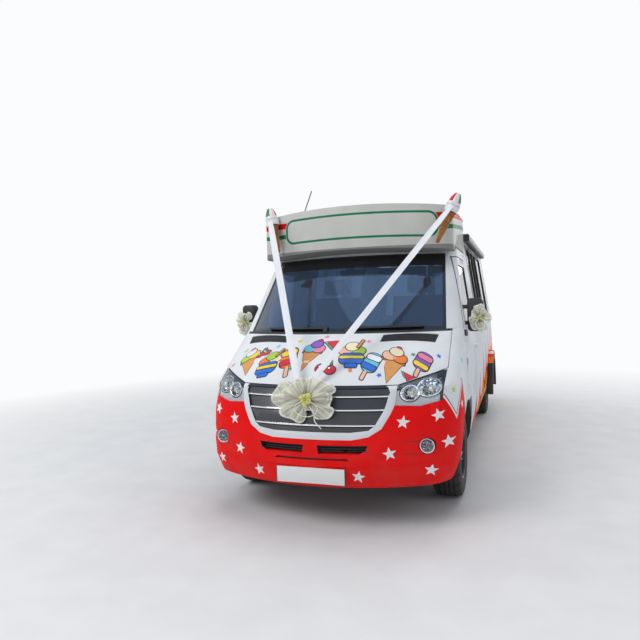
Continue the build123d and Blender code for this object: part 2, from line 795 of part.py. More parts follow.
# Rear arch flares
flare_width = 104
flare_reach = 66
with BuildPart() as rear_arch_flares:
    with BuildSketch(Plane.YZ.offset(990)):
        with Locations((rear_axle_y, tyre_radius)):
            Circle(arch_radius + flare_width)
            Circle(arch_radius, mode=Mode.SUBTRACT)
        with Locations((rear_axle_y, 343)):
            Rectangle(3 * arch_radius, 1000, align=(Align.CENTER, Align.MAX), mode=Mode.SUBTRACT)
    extrude(amount=20 + flare_reach)
    mirror(about=Plane.YZ)
    add(outer, mode=Mode.SUBTRACT)
save(rear_arch_flares.part, "rear_arch_flares")

# Floor with its rear wheel boxes
floor_half_width = 943
cab_floor_half_width = 932
wheel_box_x = 690
with BuildPart() as floor_pan:
    with BuildSketch(Plane.XY.offset(floor_top_z - floor_thickness)):
        with Locations((0, (cab_floor_front_y + 2800) / 2)):
            Rectangle(2 * floor_half_width, 2800 - cab_floor_front_y)
        with Locations((0, cab_floor_front_y)):
            Rectangle(2 * floor_half_width, 2 * (door_rear_y + door_gap - cab_floor_front_y), mode=Mode.SUBTRACT)
            Rectangle(2 * cab_floor_half_width, 2 * (door_rear_y + door_gap - cab_floor_front_y),
                      mode=Mode.ADD)
        with Locations((0, cab_floor_front_y)):
            Rectangle(2 * floor_half_width, 1000, align=(Align.CENTER, Align.MAX), mode=Mode.SUBTRACT)
        for sign in (1, -1):
            with Locations((sign * (wheel_box_x + HALF / 2), rear_axle_y)):
                Rectangle(HALF, 2 * arch_radius, mode=Mode.SUBTRACT)
    extrude(amount=floor_thickness)
    with BuildSketch(Plane.YZ.offset(wheel_box_x)):
        with Locations((rear_axle_y, tyre_radius)):
            Circle(arch_radius + arch_lining)
            Circle(arch_radius, mode=Mode.SUBTRACT)
        with Locations((rear_axle_y, floor_top_z - floor_thickness)):
            Rectangle(3 * arch_radius, 1000, align=(Align.CENTER, Align.MAX), mode=Mode.SUBTRACT)
    extrude(amount=floor_half_width - wheel_box_x)
    with BuildSketch(Plane.YZ.offset(wheel_box_x)):
        with Locations((rear_axle_y, tyre_radius)):
            Circle(arch_radius + arch_lining)
        with Locations((rear_axle_y, floor_top_z - floor_thickness)):
            Rectangle(3 * arch_radius, 1000, align=(Align.CENTER, Align.MAX), mode=Mode.SUBTRACT)
    extrude(amount=-arch_lining)
    mirror(about=Plane.YZ)
save(floor_pan.part, "floor_pan")

# Chassis rails and cross members
cross_members = [-2640, -2310, -1480, -700, 300, 1180, 2240, 2790]
with BuildPart() as chassis_frame:
    with BuildSketch(Plane.XZ.offset(2820)):
        for sign in (1, -1):
            with Locations((sign * rail_x, rail_bottom_z)):
                Rectangle(rail_width, floor_top_z - floor_thickness - rail_bottom_z, align=(Align.CENTER, Align.MIN))
    extrude(amount=-(2820 + 2828))
    for y in cross_members:
        with Locations((0, y, rail_bottom_z + 20)):
            Box(2 * rail_x, 60, 70, align=(Align.CENTER, Align.CENTER, Align.MIN))
    with BuildSketch(Plane.XZ.offset(2665)):
        with Locations((tow_socket_x, tow_socket_z)):
            Circle(2 * tow_bore_radius)
    extrude(amount=80)
    with BuildSketch(Plane.XZ.offset(2745)):
        with Locations((tow_socket_x, tow_socket_z)):
            Circle(tow_bore_radius)
    extrude(amount=-70, mode=Mode.SUBTRACT)
save(chassis_frame.part, "chassis_frame")

with BuildPart() as engine_block:
    with Locations((0, -2300, rail_bottom_z + 90.3)):
        Box(560, 640, 560, align=(Align.CENTER, Align.CENTER, Align.MIN))
    chamfer(engine_block.edges().filter_by(Axis.Y), length=60)
save(engine_block.part, "engine_block")

# Front axle beam and the steering knuckles
hub_radius = 46
boss_radius = kingpin_x - 696
with BuildPart() as front_axle:
    with Locations((0, front_axle_y, 330)):
        Box(2 * (kingpin_x - boss_radius - 0.5), 100, 70)
    with Locations((0, front_axle_y, 380)):
        Box(2 * rail_x + rail_width, 90, 2 * (rail_bottom_z - 380))
save(front_axle.part, "front_axle")

for side, sign in SIDES:
    with BuildPart() as knuckle:
        with Locations((sign * kingpin_x, front_axle_y, tyre_radius)):
            Cylinder(boss_radius, 110)
        split(bisect_by=Plane(origin=(sign * (kingpin_x + 10), 0, 0), z_dir=(-sign, 0, 0)))
        with BuildSketch(Plane.YZ.offset(sign * 756)):
            with Locations((front_axle_y, tyre_radius)):
                Circle(150)
        extrude(amount=sign * 28)
        with BuildSketch(Plane.YZ.offset(sign * 784)):
            with Locations((front_axle_y, tyre_radius)):
                Circle(hub_radius)
        extrude(amount=sign * 88.5)
        with BuildSketch(Plane.XY.offset(tyre_radius + 40)):
            with Locations((sign * 710, front_axle_y)):
                Circle(26)
        extrude(amount=360)
    save(knuckle.part, f"knuckle_{side}")

# Rear axle beam with its leaf springs
spring_x = 560
diff_radius = 130
with BuildPart() as rear_axle:
    with BuildSketch(Plane.YZ.offset(-760)):
        with Locations((rear_axle_y, tyre_radius)):
            Circle(52)
    extrude(amount=1520)
    with BuildSketch(Plane.XZ.offset(-rear_axle_y - 95)):
        with Locations((0, tyre_radius)):
            Circle(diff_radius)
    extrude(amount=190)
    for sign in (1, -1):
        with BuildSketch(Plane.YZ.offset(sign * 756)):
            with Locations((rear_axle_y, tyre_radius)):
                Circle(150)
        extrude(amount=sign * 28)
        with BuildSketch(Plane.YZ.offset(sign * 784)):
            with Locations((rear_axle_y, tyre_radius)):
                Circle(hub_radius)
        extrude(amount=sign * 88.5)
        with BuildSketch(Plane.YZ.offset(sign * spring_x - 35)):
            with BuildLine():
                ThreePointArc((rear_axle_y - 640, 560), (rear_axle_y, 300), (rear_axle_y + 640, 560))
                Line((rear_axle_y + 640, 560), (rear_axle_y + 640, 599.7))
                ThreePointArc((rear_axle_y + 640, 599.7), (rear_axle_y, 350), (rear_axle_y - 640, 599.7))
                Line((rear_axle_y - 640, 599.7), (rear_axle_y - 640, 560))
            make_face()
        extrude(amount=70)
save(rear_axle.part, "rear_axle")

# Wheels
spoke_count = 10
rim_window_circle = 132
rim_window_length = 92
rim_window_width = 46
for end, axle_y in (("front", front_axle_y), ("rear", rear_axle_y)):
    for side, sign in SIDES:
        half = tyre_width / 2
        centre = Plane((sign * wheel_x, axle_y, tyre_radius), x_dir=(1, 0, 0), z_dir=(0, -1, 0))
        axis = Axis((sign * wheel_x, axle_y, tyre_radius), (1, 0, 0))
        with BuildPart() as tyre:
            with BuildSketch(centre):
                with BuildLine():
                    Polyline((-half + 8, rim_radius), (half - 8, rim_radius), (half, rim_radius + 46),
                             (half, tyre_radius - 48))
                    ThreePointArc((half, tyre_radius - 48), (half - 8, tyre_radius - 15),
                                  (half - tyre_shoulder, tyre_radius - 3))
                    Polyline((half - tyre_shoulder, tyre_radius - 3), (half - 60, tyre_radius),
                             (60 - half, tyre_radius), (tyre_shoulder - half, tyre_radius - 3))
                    ThreePointArc((tyre_shoulder - half, tyre_radius - 3), (8 - half, tyre_radius - 15),
                                  (-half, tyre_radius - 48))
                    Polyline((-half, tyre_radius - 48), (-half, rim_radius + 46), (-half + 8, rim_radius))
                make_face()
            revolve(axis=axis)
        save(tyre.part, f"tyre_{end}_{side}")
        with BuildPart() as rim:
            with BuildSketch(centre):
                with BuildLine():
                    Polyline(
                        (-half + 10, rim_radius - 0.3), (-half + 10, rim_radius - rim_wall),
                        (sign * 18 - 8, rim_radius - rim_wall - 6), (half - 10, rim_radius - rim_wall),
                        (half - 10, rim_radius - 0.3), close=True,
                    )
                make_face()
            revolve(axis=axis)
            with BuildSketch(Plane.YZ.offset(sign * (wheel_x + 18))):
                with Locations((axle_y, tyre_radius)):
                    Circle(rim_radius - rim_wall)
                with Locations(Location((axle_y, tyre_radius))):
                    with PolarLocations(rim_window_circle, spoke_count):
                        SlotOverall(rim_window_length, rim_window_width, mode=Mode.SUBTRACT)
            extrude(amount=sign * 20)
            with BuildSketch(Plane.YZ.offset(sign * (wheel_x + 18))):
                with Locations((axle_y, tyre_radius)):
                    Circle(70)
            extrude(amount=sign * 52, taper=8)
        save(rim.part, f"rim_{end}_{side}")

# Fuel tank and exhaust
with BuildPart() as fuel_tank:
    with Locations((-664, -300, 475)):
        Box(440, 900, 249.4)
    fillet(fuel_tank.edges().filter_by(Axis.Y), radius=50)
save(fuel_tank.part, "fuel_tank")

with BuildPart() as exhaust:
    with BuildSketch(Plane.XZ.offset(1300)):
        with Locations((620, 560)):
            Circle(30)
    extrude(amount=-4100 + 1900)
    with BuildSketch(Plane.XZ.offset(900)):
        with Locations((600, 515)):
            Ellipse(130, 84.7)
    extrude(amount=-620)
save(exhaust.part, "exhaust")

# Dashboard, driver on the right
driver_x = -430
with BuildPart() as dashboard:
    with BuildSketch(Plane.YZ.offset(-880)):
        with BuildLine():
            Polyline(
                (bulkhead_y + 12.3, 900), (bulkhead_y + 12.3, 1330), (bulkhead_y + 60, 1342),
                (-1600, 1330), (-1500, 1270), (-1540, 1000), (-1600, 900), close=True,
            )
        make_face()
    extrude(amount=1760)
save(dashboard.part, "dashboard")

# Steering wheel on its column
steering_radius = 195
steering_rim = 15
steering_column = 340
steering_plane = Plane((driver_x, -1352, 1296), x_dir=(1, 0, 0), z_dir=(0, 0.6, 0.8))
with BuildPart() as steering_wheel:
    with Locations(steering_plane):
        Torus(steering_radius, steering_rim)
        Box(2 * steering_radius, 34, 14)
        Box(30, steering_radius, 14, align=(Align.CENTER, Align.MAX, Align.CENTER))
        Cylinder(56, 34)
    with BuildSketch(steering_plane):
        Circle(26)
    extrude(amount=-steering_column)
    add(dashboard.part, mode=Mode.SUBTRACT)
save(steering_wheel.part, "steering_wheel")

# Seats
with BuildPart() as seats:
    for x in (driver_x, -driver_x):
        with BuildSketch(Plane.YZ.offset(x - 250)):
            with BuildLine():
                Polyline(
                    (-1290, 940), (-1290, 1030), (-1240, 1062), (-900, 1040), (-800, 1660),
                    (-700, 1650), (-760, 1000), (-820, 920), close=True,
                )
            make_face()
        extrude(amount=500)
        with Locations((x, -1040, floor_top_z + seam)):
            Box(420, 380, 320, align=(Align.CENTER, Align.CENTER, Align.MIN))
save(seats.part, "seats")

# Counters and machine
with BuildPart() as counter_unit:
    with Locations((700, 474, floor_top_z + 0.3)):
        Box(440, 1500, 690, align=(Align.CENTER, Align.CENTER, Align.MIN))
    with Locations((688, 474, floor_top_z + 690)):
        Box(470, 1540, 34, align=(Align.CENTER, Align.CENTER, Align.MIN))
    with Locations((-700, 860, floor_top_z + 0.3)):
        Box(440, 800, 690, align=(Align.CENTER, Align.CENTER, Align.MIN))
    with Locations((-688, 860, floor_top_z + 690)):
        Box(470, 840, 34, align=(Align.CENTER, Align.CENTER, Align.MIN))
save(counter_unit.part, "counter_unit")

with BuildPart() as soft_serve_machine:
    with Locations((-660, 120, floor_top_z + 0.3)):
        Box(500, 620, 900, align=(Align.CENTER, Align.CENTER, Align.MIN))
    fillet(soft_serve_machine.edges().filter_by(Axis.Z), radius=30)
    with Locations((-390, 120, 1330)):
        Box(60, 220, 180)
    with BuildSketch(Plane.XY.offset(1240)):
        with Locations((-366, 60), (-366, 180)):
            Circle(16)
    extrude(amount=-60)
    with Locations((-380, 120, 1060)):
        Box(140, 360, 24)
save(soft_serve_machine.part, "soft_serve_machine")

# Headboard over the cab
headboard_rear_y = roof_step_y - 6
headboard_nose_y = -1820
headboard_half = 890
headboard_arc_x = 838
headboard_arc_y = -1648
headboard_low_z = 2038
headboard_top_z = 2467
headboard_edge_top_z = 2424
with BuildPart() as headboard:
    turn = 2 * atan2(headboard_arc_y - headboard_nose_y, headboard_arc_x)
    corner_y = headboard_arc_y + (headboard_half - headboard_arc_x) * tan((turn + pi / 2) / 2)
    with BuildSketch(Plane.XY.offset(headboard_low_z)):
        with BuildLine():
            ThreePointArc((-headboard_arc_x, headboard_arc_y), (0, headboard_nose_y), (headboard_arc_x, headboard_arc_y))
            TangentArc((headboard_half, corner_y), (headboard_arc_x, headboard_arc_y), tangent=(0, -1))
            Polyline((headboard_half, corner_y), (headboard_half, headboard_rear_y),
                     (-headboard_half, headboard_rear_y), (-headboard_half, corner_y))
            TangentArc((-headboard_half, corner_y), (-headboard_arc_x, headboard_arc_y), tangent=(0, -1))
        make_face()
    extrude(amount=headboard_top_z + 40 - headboard_low_z)
    with BuildSketch(Plane.XZ.offset(400)):
        with BuildLine():
            ThreePointArc((-1000, headboard_edge_top_z - 8), (0, headboard_top_z), (1000, headboard_edge_top_z - 8))
            Polyline((1000, headboard_edge_top_z - 8), (1000, 1900), (-1000, 1900), (-1000, headboard_edge_top_z - 8))
        make_face()
    extrude(amount=1800, mode=Mode.INTERSECT)
    with BuildSketch(Plane.YZ.offset(-HALF)):
        with BuildLine():
            Polyline((-2400, 2106), (-1820, 2076), (-1560, 2038), (-1300, 2010), (-1300, 1900), (-2400, 1900), close=True)
        make_face()
    extrude(amount=2 * HALF, mode=Mode.SUBTRACT)
    add(outer, mode=Mode.SUBTRACT)
    with BuildSketch(Plane.XY.offset(1900)):
        with Locations((0, -950)):
            Rectangle(2400, 1000)
    extrude(amount=cab_roof_z - 1900, mode=Mode.SUBTRACT)
save(headboard.part, "headboard")

# Display cones on the headboard's front corners
cone_table = [
    # foot_x, foot_y, foot_z, mouth_x, mouth_y, mouth_z
    (768, -1738, 2096, 903, -1700, 2400),
    (-690, -1766, 2096, -762, -1738, 2400),
]
cone_foot_radius = 15
cone_mouth_radius = 52
scoop_radius = 62
scoop_height = 122
with BuildPart() as cones:
    for foot_x, foot_y, foot_z, mouth_x, mouth_y, mouth_z in cone_table:
        foot = Vector(foot_x, foot_y, foot_z)
        mouth = Vector(mouth_x, mouth_y, mouth_z)
        rise = (mouth - foot).normalized()
        with BuildSketch(Plane(foot, x_dir=(0, -1, 0), z_dir=rise)):
            RegularPolygon(cone_foot_radius, 8)
        with BuildSketch(Plane(mouth, x_dir=(0, -1, 0), z_dir=rise)):
            RegularPolygon(cone_mouth_radius, 8)
        loft(ruled=True)
        with BuildSketch(Plane(mouth, x_dir=(0, -1, 0), z_dir=rise)):
            Circle(scoop_radius)
        extrude(amount=scoop_height, taper=20)
        for share in (0.35, 0.85):
            at = foot + (mouth - foot) * share
            with BuildSketch(Plane.XZ.offset(-at.Y)):
                with Locations((at.X - (28 if at.X > 0 else -28) * share, at.Z)):
                    Circle(11)
            extrude(amount=-160)
    add(headboard.part, mode=Mode.SUBTRACT)
save(cones.part, "cones")

with BuildPart() as antenna:
    with BuildSketch(Plane((-543, -1500, 2440), x_dir=(1, 0, 0), z_dir=(0.24, 0.3, 0.92))):
        Circle(5)
    extrude(amount=290)
    with BuildSketch(Plane.XY.offset(2440)):
        with Locations((-543, -1500)):
            Circle(22)
    extrude(amount=36)
    add(headboard.part, mode=Mode.SUBTRACT)
save(antenna.part, "antenna")

# Rolled awning along the selling side
awning_front_y = -560
awning_rear_y = 2130
with BuildPart() as awning:
    with BuildSketch(Plane.XZ.offset(-awning_rear_y)):
        with Locations((912, 2248)):
            RectangleRounded(72, 78, 20)
    extrude(amount=awning_rear_y - awning_front_y)
    for y in (-300, 700, 1900):
        with Locations((860, y, 2248)):
            Box(70, 60, 40)
    add(outer, mode=Mode.SUBTRACT)
save(awning.part, "awning")

# Rear step bumper
with BuildPart() as rear_step:
    with Locations((0, body_rear_y + 0.3, 440)):
        Box(1900, 76 - 0.3, 150, align=(Align.CENTER, Align.MIN, Align.MIN))
    fillet(rear_step.edges().filter_by(Axis.Z).group_by(Axis.Y)[-1], radius=50)
    for sign in (1, -1):
        with Locations((sign * rail_x, 2828.3, 470)):
            Box(60, body_rear_y - 2828, 100, align=(Align.CENTER, Align.MIN, Align.MIN))
save(rear_step.part, "rear_step")

# Number plates, blank
plate_width = 520
plate_height = 111
with BuildPart() as number_plates:
    with Locations((0, -2967, 388)):
        Box(plate_width, 8, plate_height)
    with Locations((0, 2966.3, 515)):
        Box(plate_width, 8, plate_height, align=(Align.CENTER, Align.MIN, Align.CENTER))
save(number_plates.part, "number_plates")

# Wipers lie in front of the glass
with BuildPart() as wipers:
    add(hull(-16, 1160, cab_roof_z) - hull(glass_drop - 0.3, 1160, cab_roof_z))
    with BuildSketch(Plane.XZ.offset(1700)):
        for x_from, x_to, post in ((-640, -60, -80), (80, 700, 100)):
            with Locations(((x_from + x_to) / 2, 1402)):
                Rectangle(x_to - x_from, 14)
            with Locations((post, screen_bottom_z)):
                Rectangle(34, 40, align=(Align.CENTER, Align.MIN))
    extrude(amount=1200, mode=Mode.INTERSECT)
save(wipers.part, "wipers")

# Front bow and the two ribbons that hold it
bow_x = -60
bow_z = 907
bow_y = -2928.7
with BuildPart() as bow_front:
    with BuildSketch(Plane.XZ.offset(-bow_y)):
        with Locations((bow_x, bow_z)):
            Ellipse(236, 160)
    extrude(amount=80)
    chamfer(bow_front.edges().group_by(Axis.Y)[0], length=34)
save(bow_front.part, "bow_front")

ribbon_width = 58
ribbon_table = [
    # lower end at the bow, upper end beside a cone
    ((-90, bow_y + 7.9, 1012), (-760, -1791, 2392)),
    ((-20, bow_y + 9.9, 1012), (895, -1751.7, 2396)),
]
with BuildPart() as ribbons:
    for low, high in ribbon_table:
        along = Vector(*high) - Vector(*low)
        with BuildSketch(Plane(low, x_dir=(1, 0, 0), z_dir=along.normalized())):
            Rectangle(ribbon_width, 3)
        extrude(amount=along.length)
save(ribbons.part, "ribbons")
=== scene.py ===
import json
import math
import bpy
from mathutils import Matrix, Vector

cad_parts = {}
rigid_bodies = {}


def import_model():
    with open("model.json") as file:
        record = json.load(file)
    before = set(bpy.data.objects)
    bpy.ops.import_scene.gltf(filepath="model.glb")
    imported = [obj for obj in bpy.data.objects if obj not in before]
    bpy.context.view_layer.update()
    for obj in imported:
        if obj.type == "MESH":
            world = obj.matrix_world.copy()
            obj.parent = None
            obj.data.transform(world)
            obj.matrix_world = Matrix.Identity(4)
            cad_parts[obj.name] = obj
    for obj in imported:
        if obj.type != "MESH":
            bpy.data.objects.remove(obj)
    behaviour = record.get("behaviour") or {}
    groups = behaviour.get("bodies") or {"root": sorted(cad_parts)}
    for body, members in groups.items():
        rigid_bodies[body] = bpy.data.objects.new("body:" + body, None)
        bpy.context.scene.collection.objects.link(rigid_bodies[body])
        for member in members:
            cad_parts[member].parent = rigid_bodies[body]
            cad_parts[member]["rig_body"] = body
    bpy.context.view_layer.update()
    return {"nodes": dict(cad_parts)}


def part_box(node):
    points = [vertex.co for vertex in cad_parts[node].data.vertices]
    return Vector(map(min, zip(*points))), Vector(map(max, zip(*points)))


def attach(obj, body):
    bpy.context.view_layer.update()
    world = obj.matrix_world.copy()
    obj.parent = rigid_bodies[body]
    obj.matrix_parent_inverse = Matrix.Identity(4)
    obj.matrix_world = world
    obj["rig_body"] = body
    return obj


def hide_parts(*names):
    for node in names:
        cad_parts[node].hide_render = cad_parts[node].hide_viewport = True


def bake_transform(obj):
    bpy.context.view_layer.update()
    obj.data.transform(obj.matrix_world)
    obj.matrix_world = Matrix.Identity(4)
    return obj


bl_info = {
    "name": "Ice cream truck",
    "version": (1, 0, 0),
    "blender": (4, 5, 0),
    "location": "3D View > Sidebar > Ice cream truck",
    "description": "Paint, glass, lamps, wheels, signs, ribbons and bows of an ice cream truck",
    "category": "Object",
}

import bpy
from bpy.props import FloatProperty, FloatVectorProperty, PointerProperty
from mathutils import Matrix, Vector

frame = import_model()
SIDES = (("left", 1), ("right", -1))


def length(name, default, description):
    """A length for the sidebar."""
    return FloatProperty(name=name, description=description, default=default, unit="LENGTH")


def colour_of(name, default, description):
    """A colour for the sidebar."""
    return FloatVectorProperty(name=name, description=description, default=default, size=3, subtype="COLOR")


class TruckSizes(bpy.types.PropertyGroup):
    """Sizes of what is dressed on the truck."""

    star_width: length("Star width", 0.095, "Tip to tip width of a white star")
    small_star_width: length("Small star width", 0.052, "Width of a coloured star")
    edge_radius: length("Panel edge radius", 0.0022, "Rounding of the sheet metal edges")
    line_width: length("Outline width", 0.0105, "White line that edges the red paint")
    sign_line_width: length("Sign line width", 0.02, "Green line round the sign")


class TruckColours(bpy.types.PropertyGroup):
    """Colours of the paint, the sign and the cloth."""

    white: colour_of("White", (0.8, 0.82, 0.84), "Body paint")
    red: colour_of("Red", (0.88, 0.004, 0.005), "Lower body paint")
    orange: colour_of("Orange", (0.95, 0.22, 0.02), "Heart of the flames")
    moulding: colour_of("Moulding", (0.6, 0.6, 0.56), "Sign board's own colour")
    green: colour_of("Green", (0.02, 0.2, 0.09), "Line round the sign")
    organza: colour_of("Organza", (0.78, 0.77, 0.62), "Bow cloth")


def only(piece):
    """Select one object alone and make it active."""
    bpy.ops.object.select_all(action="DESELECT")
    piece.select_set(True)
    bpy.context.view_layer.objects.active = piece


def edit(piece):
    """Open one object in edit mode with all of it selected."""
    only(piece)
    bpy.ops.object.mode_set(mode="EDIT")
    bpy.ops.mesh.select_all(action="SELECT")


def pick(piece, kind, test):
    """Select the vertices or polygons that pass the test, and open edit mode."""
    only(piece)
    for name in ("vertices", "edges", "polygons"):
        for element in getattr(piece.data, name):
            element.select = name == kind and test(element)
    bpy.context.tool_settings.mesh_select_mode = (kind == "vertices", False, kind == "polygons")
    bpy.ops.object.mode_set(mode="EDIT")


def leave():
    """Go back to object mode."""
    bpy.ops.object.mode_set(mode="OBJECT")


def use_modifier(piece, kind, **settings):
    """Add one modifier with its settings and apply it."""
    only(piece)
    modifier = piece.modifiers.new(kind.title(), kind)
    for key, value in settings.items():
        setattr(modifier, key, value)
    bpy.ops.object.modifier_apply(modifier=modifier.name)


def smooth(piece, angle=32):
    """Shade smooth, but keep the edges sharper than the angle."""
    only(piece)
    bpy.ops.object.shade_smooth_by_angle(angle=math.radians(angle))


def body_of(node):
    """The body that a modelled part belongs to."""
    return frame["nodes"][node]["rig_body"]


def dress(mesh, *materials):
    """Give a mesh its finishes."""
    mesh.materials.clear()
    for material in materials:
        mesh.materials.append(material)


def coat(nodes, material):
    """Give modelled parts their finish."""
    for node in nodes.split():
        dress(frame["nodes"][node].data, material)


def choose(piece, choice):
    """Give each face the finish that the choice numbers."""
    for face in piece.data.polygons:
        face.material_index = int(choice(face))


def place(piece, name, body, *materials, slot, stands_for=()):
    """Name a finished piece, give it its finish and let it ride on its body, if it has only one."""
    piece.name = name
    piece.data.name = name
    if materials:
        dress(piece.data, *materials)
    if body:
        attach(piece, body)
    if stands_for:
        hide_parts(*stands_for)
    return piece


def copy_of(node):
    """A welded copy of a modelled part, free to be shaped further."""
    piece = bpy.data.objects.new(node, frame["nodes"][node].data.copy())
    bpy.context.collection.objects.link(piece)
    only(piece)
    bpy.ops.mesh.customdata_custom_splitnormals_clear()
    edit(piece)
    bpy.ops.mesh.remove_doubles(threshold=0.00002)
    bpy.ops.mesh.dissolve_limited(angle_limit=math.radians(0.6))
    leave()
    return piece


def remade(node, name, width, *materials, slot, segments=2):
    """A copy with its sharp edges rounded, which stands for the modelled part."""
    piece = copy_of(node)
    use_modifier(piece, "BEVEL", width=width, segments=segments, limit_method="ANGLE",
                 angle_limit=math.radians(32), use_clamp_overlap=True, harden_normals=False)
    smooth(piece)
    return place(piece, name, body_of(node), *materials, slot=slot, stands_for=[node])


def primitive(kind, **sizes):
    """A new simple mesh, selected alone."""
    bpy.ops.object.select_all(action="DESELECT")
    getattr(bpy.ops.mesh, f"primitive_{kind}_add")(**sizes)
    return bpy.context.object


def spun(points, axis=(1, 0, 0), steps=48):
    """A closed round shape: a profile drawn point by point and turned about an axis through the origin."""
    piece = primitive("plane", size=0.01)
    edit(piece)
    bpy.ops.mesh.select_mode(type="VERT")
    bpy.ops.mesh.merge(type="CENTER")
    bpy.ops.transform.translate(value=points[0])
    for start, end in zip(points, points[1:]):
        bpy.ops.mesh.extrude_region_move(TRANSFORM_OT_translate={"value": Vector(end) - Vector(start)})
    bpy.ops.mesh.select_all(action="SELECT")
    bpy.ops.mesh.spin(steps=steps, angle=math.tau, center=(0, 0, 0), axis=axis)
    leave()
    edit(piece)
    bpy.ops.mesh.remove_doubles(threshold=0.00005)
    bpy.ops.mesh.normals_make_consistent(inside=False)
    leave()
    return piece


def turned(profile, steps):
    """A closed round shape about Z, from radius and height pairs."""
    return spun([(0, radius, height) for radius, height in profile], (0, 0, 1), steps)


def rod(radius, height):
    """A thin round bar that stands on the origin."""
    return turned([(0, 0), (radius, 0), (radius, height), (0, height)], 12)


def moved(piece, matrix):
    """Carry a finished mesh to its place."""
    piece.data.transform(matrix)
    if matrix.determinant() < 0:
        piece.data.flip_normals()
    piece.data.update()
    return piece


def twin(piece, matrix):
    """A second piece with its own mesh, at another place."""
    other = bpy.data.objects.new(piece.name, piece.data.copy())
    bpy.context.collection.objects.link(other)
    return moved(other, matrix)


def joined(pieces):
    """Several pieces as one."""
    bpy.ops.object.select_all(action="DESELECT")
    for piece in pieces:
        piece.select_set(True)
    bpy.context.view_layer.objects.active = pieces[0]
    if len(pieces) > 1:
        bpy.ops.object.join()
    return bpy.context.object


def towards(direction, at):
    """The move that turns local Z to a direction and the origin to a point."""
    return Matrix.Translation(at) @ Vector(direction).to_track_quat("Z", "Y").to_matrix().to_4x4()


FACINGS = {
    # name: tip and turn of a flat shape, axis along which it is laid on, whether upwards, where it starts
    "front": (math.pi / 2, 0, 1, True, -3.4),
    "top": (0, 0, 2, False, 3),
    "left": (math.pi / 2, math.pi / 2, 0, False, 1.6),
    "right": (math.pi / 2, -math.pi / 2, 0, True, -1.6),
}
CORNERS = {"star": 10, "disc": 20, "wedge": 3}
STAR_WAIST = 0.42


def flat(kind, facing, across, up, width, height, turn=0.0):
    """A flat star, disc, wedge, bar or long lip that faces one way, ready to be draped."""
    if kind in CORNERS:
        piece = primitive("circle", vertices=CORNERS[kind], radius=0.5, fill_type="NGON")
    elif kind == "lip":
        piece = primitive("grid", x_subdivisions=72, y_subdivisions=2, size=1.0)
    else:
        piece = primitive("plane", size=1.0)
    if kind == "star":
        pick(piece, "vertices", lambda corner: corner.index % 2 == 1)
        bpy.ops.transform.resize(value=(STAR_WAIST, STAR_WAIST, 1), center_override=(0, 0, 0))
        leave()
    edit(piece)
    bpy.ops.transform.resize(value=(width, height, 1), center_override=(0, 0, 0))
    if kind == "bar":
        bpy.ops.mesh.bevel(offset=min(width, height) * 0.4, segments=4, affect="VERTICES")
        bpy.ops.mesh.select_all(action="SELECT")
    if kind != "lip":
        bpy.ops.mesh.poke()
        bpy.ops.mesh.subdivide(number_cuts=1)
    leave()
    tip, swing, axis, _, start = FACINGS[facing]
    at = [across, up]
    at.insert(axis, start)
    moved(piece, Matrix.Rotation(math.radians(turn), 4, "Z"))
    facing_turn = Matrix.Rotation(swing, 4, "Z") @ Matrix.Rotation(tip, 4, "X")
    return moved(piece, Matrix.Translation(at) @ facing_turn)


def drape(piece, facing, target, lift, thickness=0.0006):
    """Lay a flat shape on a surface, cut off what misses it and give it a thin body."""
    _, _, axis, upwards, start = FACINGS[facing]
    ways = {f"use_project_{letter}": number == axis for number, letter in enumerate("xyz")}
    use_modifier(piece, "SHRINKWRAP", target=target, wrap_method="PROJECT", wrap_mode="ABOVE_SURFACE",
                 offset=lift, use_positive_direction=upwards, use_negative_direction=not upwards, **ways)
    pick(piece, "vertices", lambda corner: (corner.co[axis] < start * 0.97) == upwards)
    bpy.ops.mesh.delete(type="VERT")
    leave()
    use_modifier(piece, "SOLIDIFY", thickness=thickness, offset=1.0)
    return piece


class Wire:
    """One output of a node, which can be reckoned with like a number."""

    def __init__(self, graph, socket):
        self.graph = graph
        self.socket = socket

    def __rsub__(self, other):
        return self.graph.math("SUBTRACT", other, self)

    def __abs__(self):
        return self.graph.math("ABSOLUTE", self)


def reckon(operation):
    """The method of a wire that does one operation with two values."""
    return lambda wire, other: wire.graph.math(operation, wire, other)


for method, operation in (("add", "ADD"), ("sub", "SUBTRACT"), ("mul", "MULTIPLY"), ("truediv", "DIVIDE"),
                          ("pow", "POWER"), ("gt", "GREATER_THAN"), ("lt", "LESS_THAN")):
    setattr(Wire, f"__{method}__", reckon(operation))


EDGE_RANGE = (0.3, 1.3)


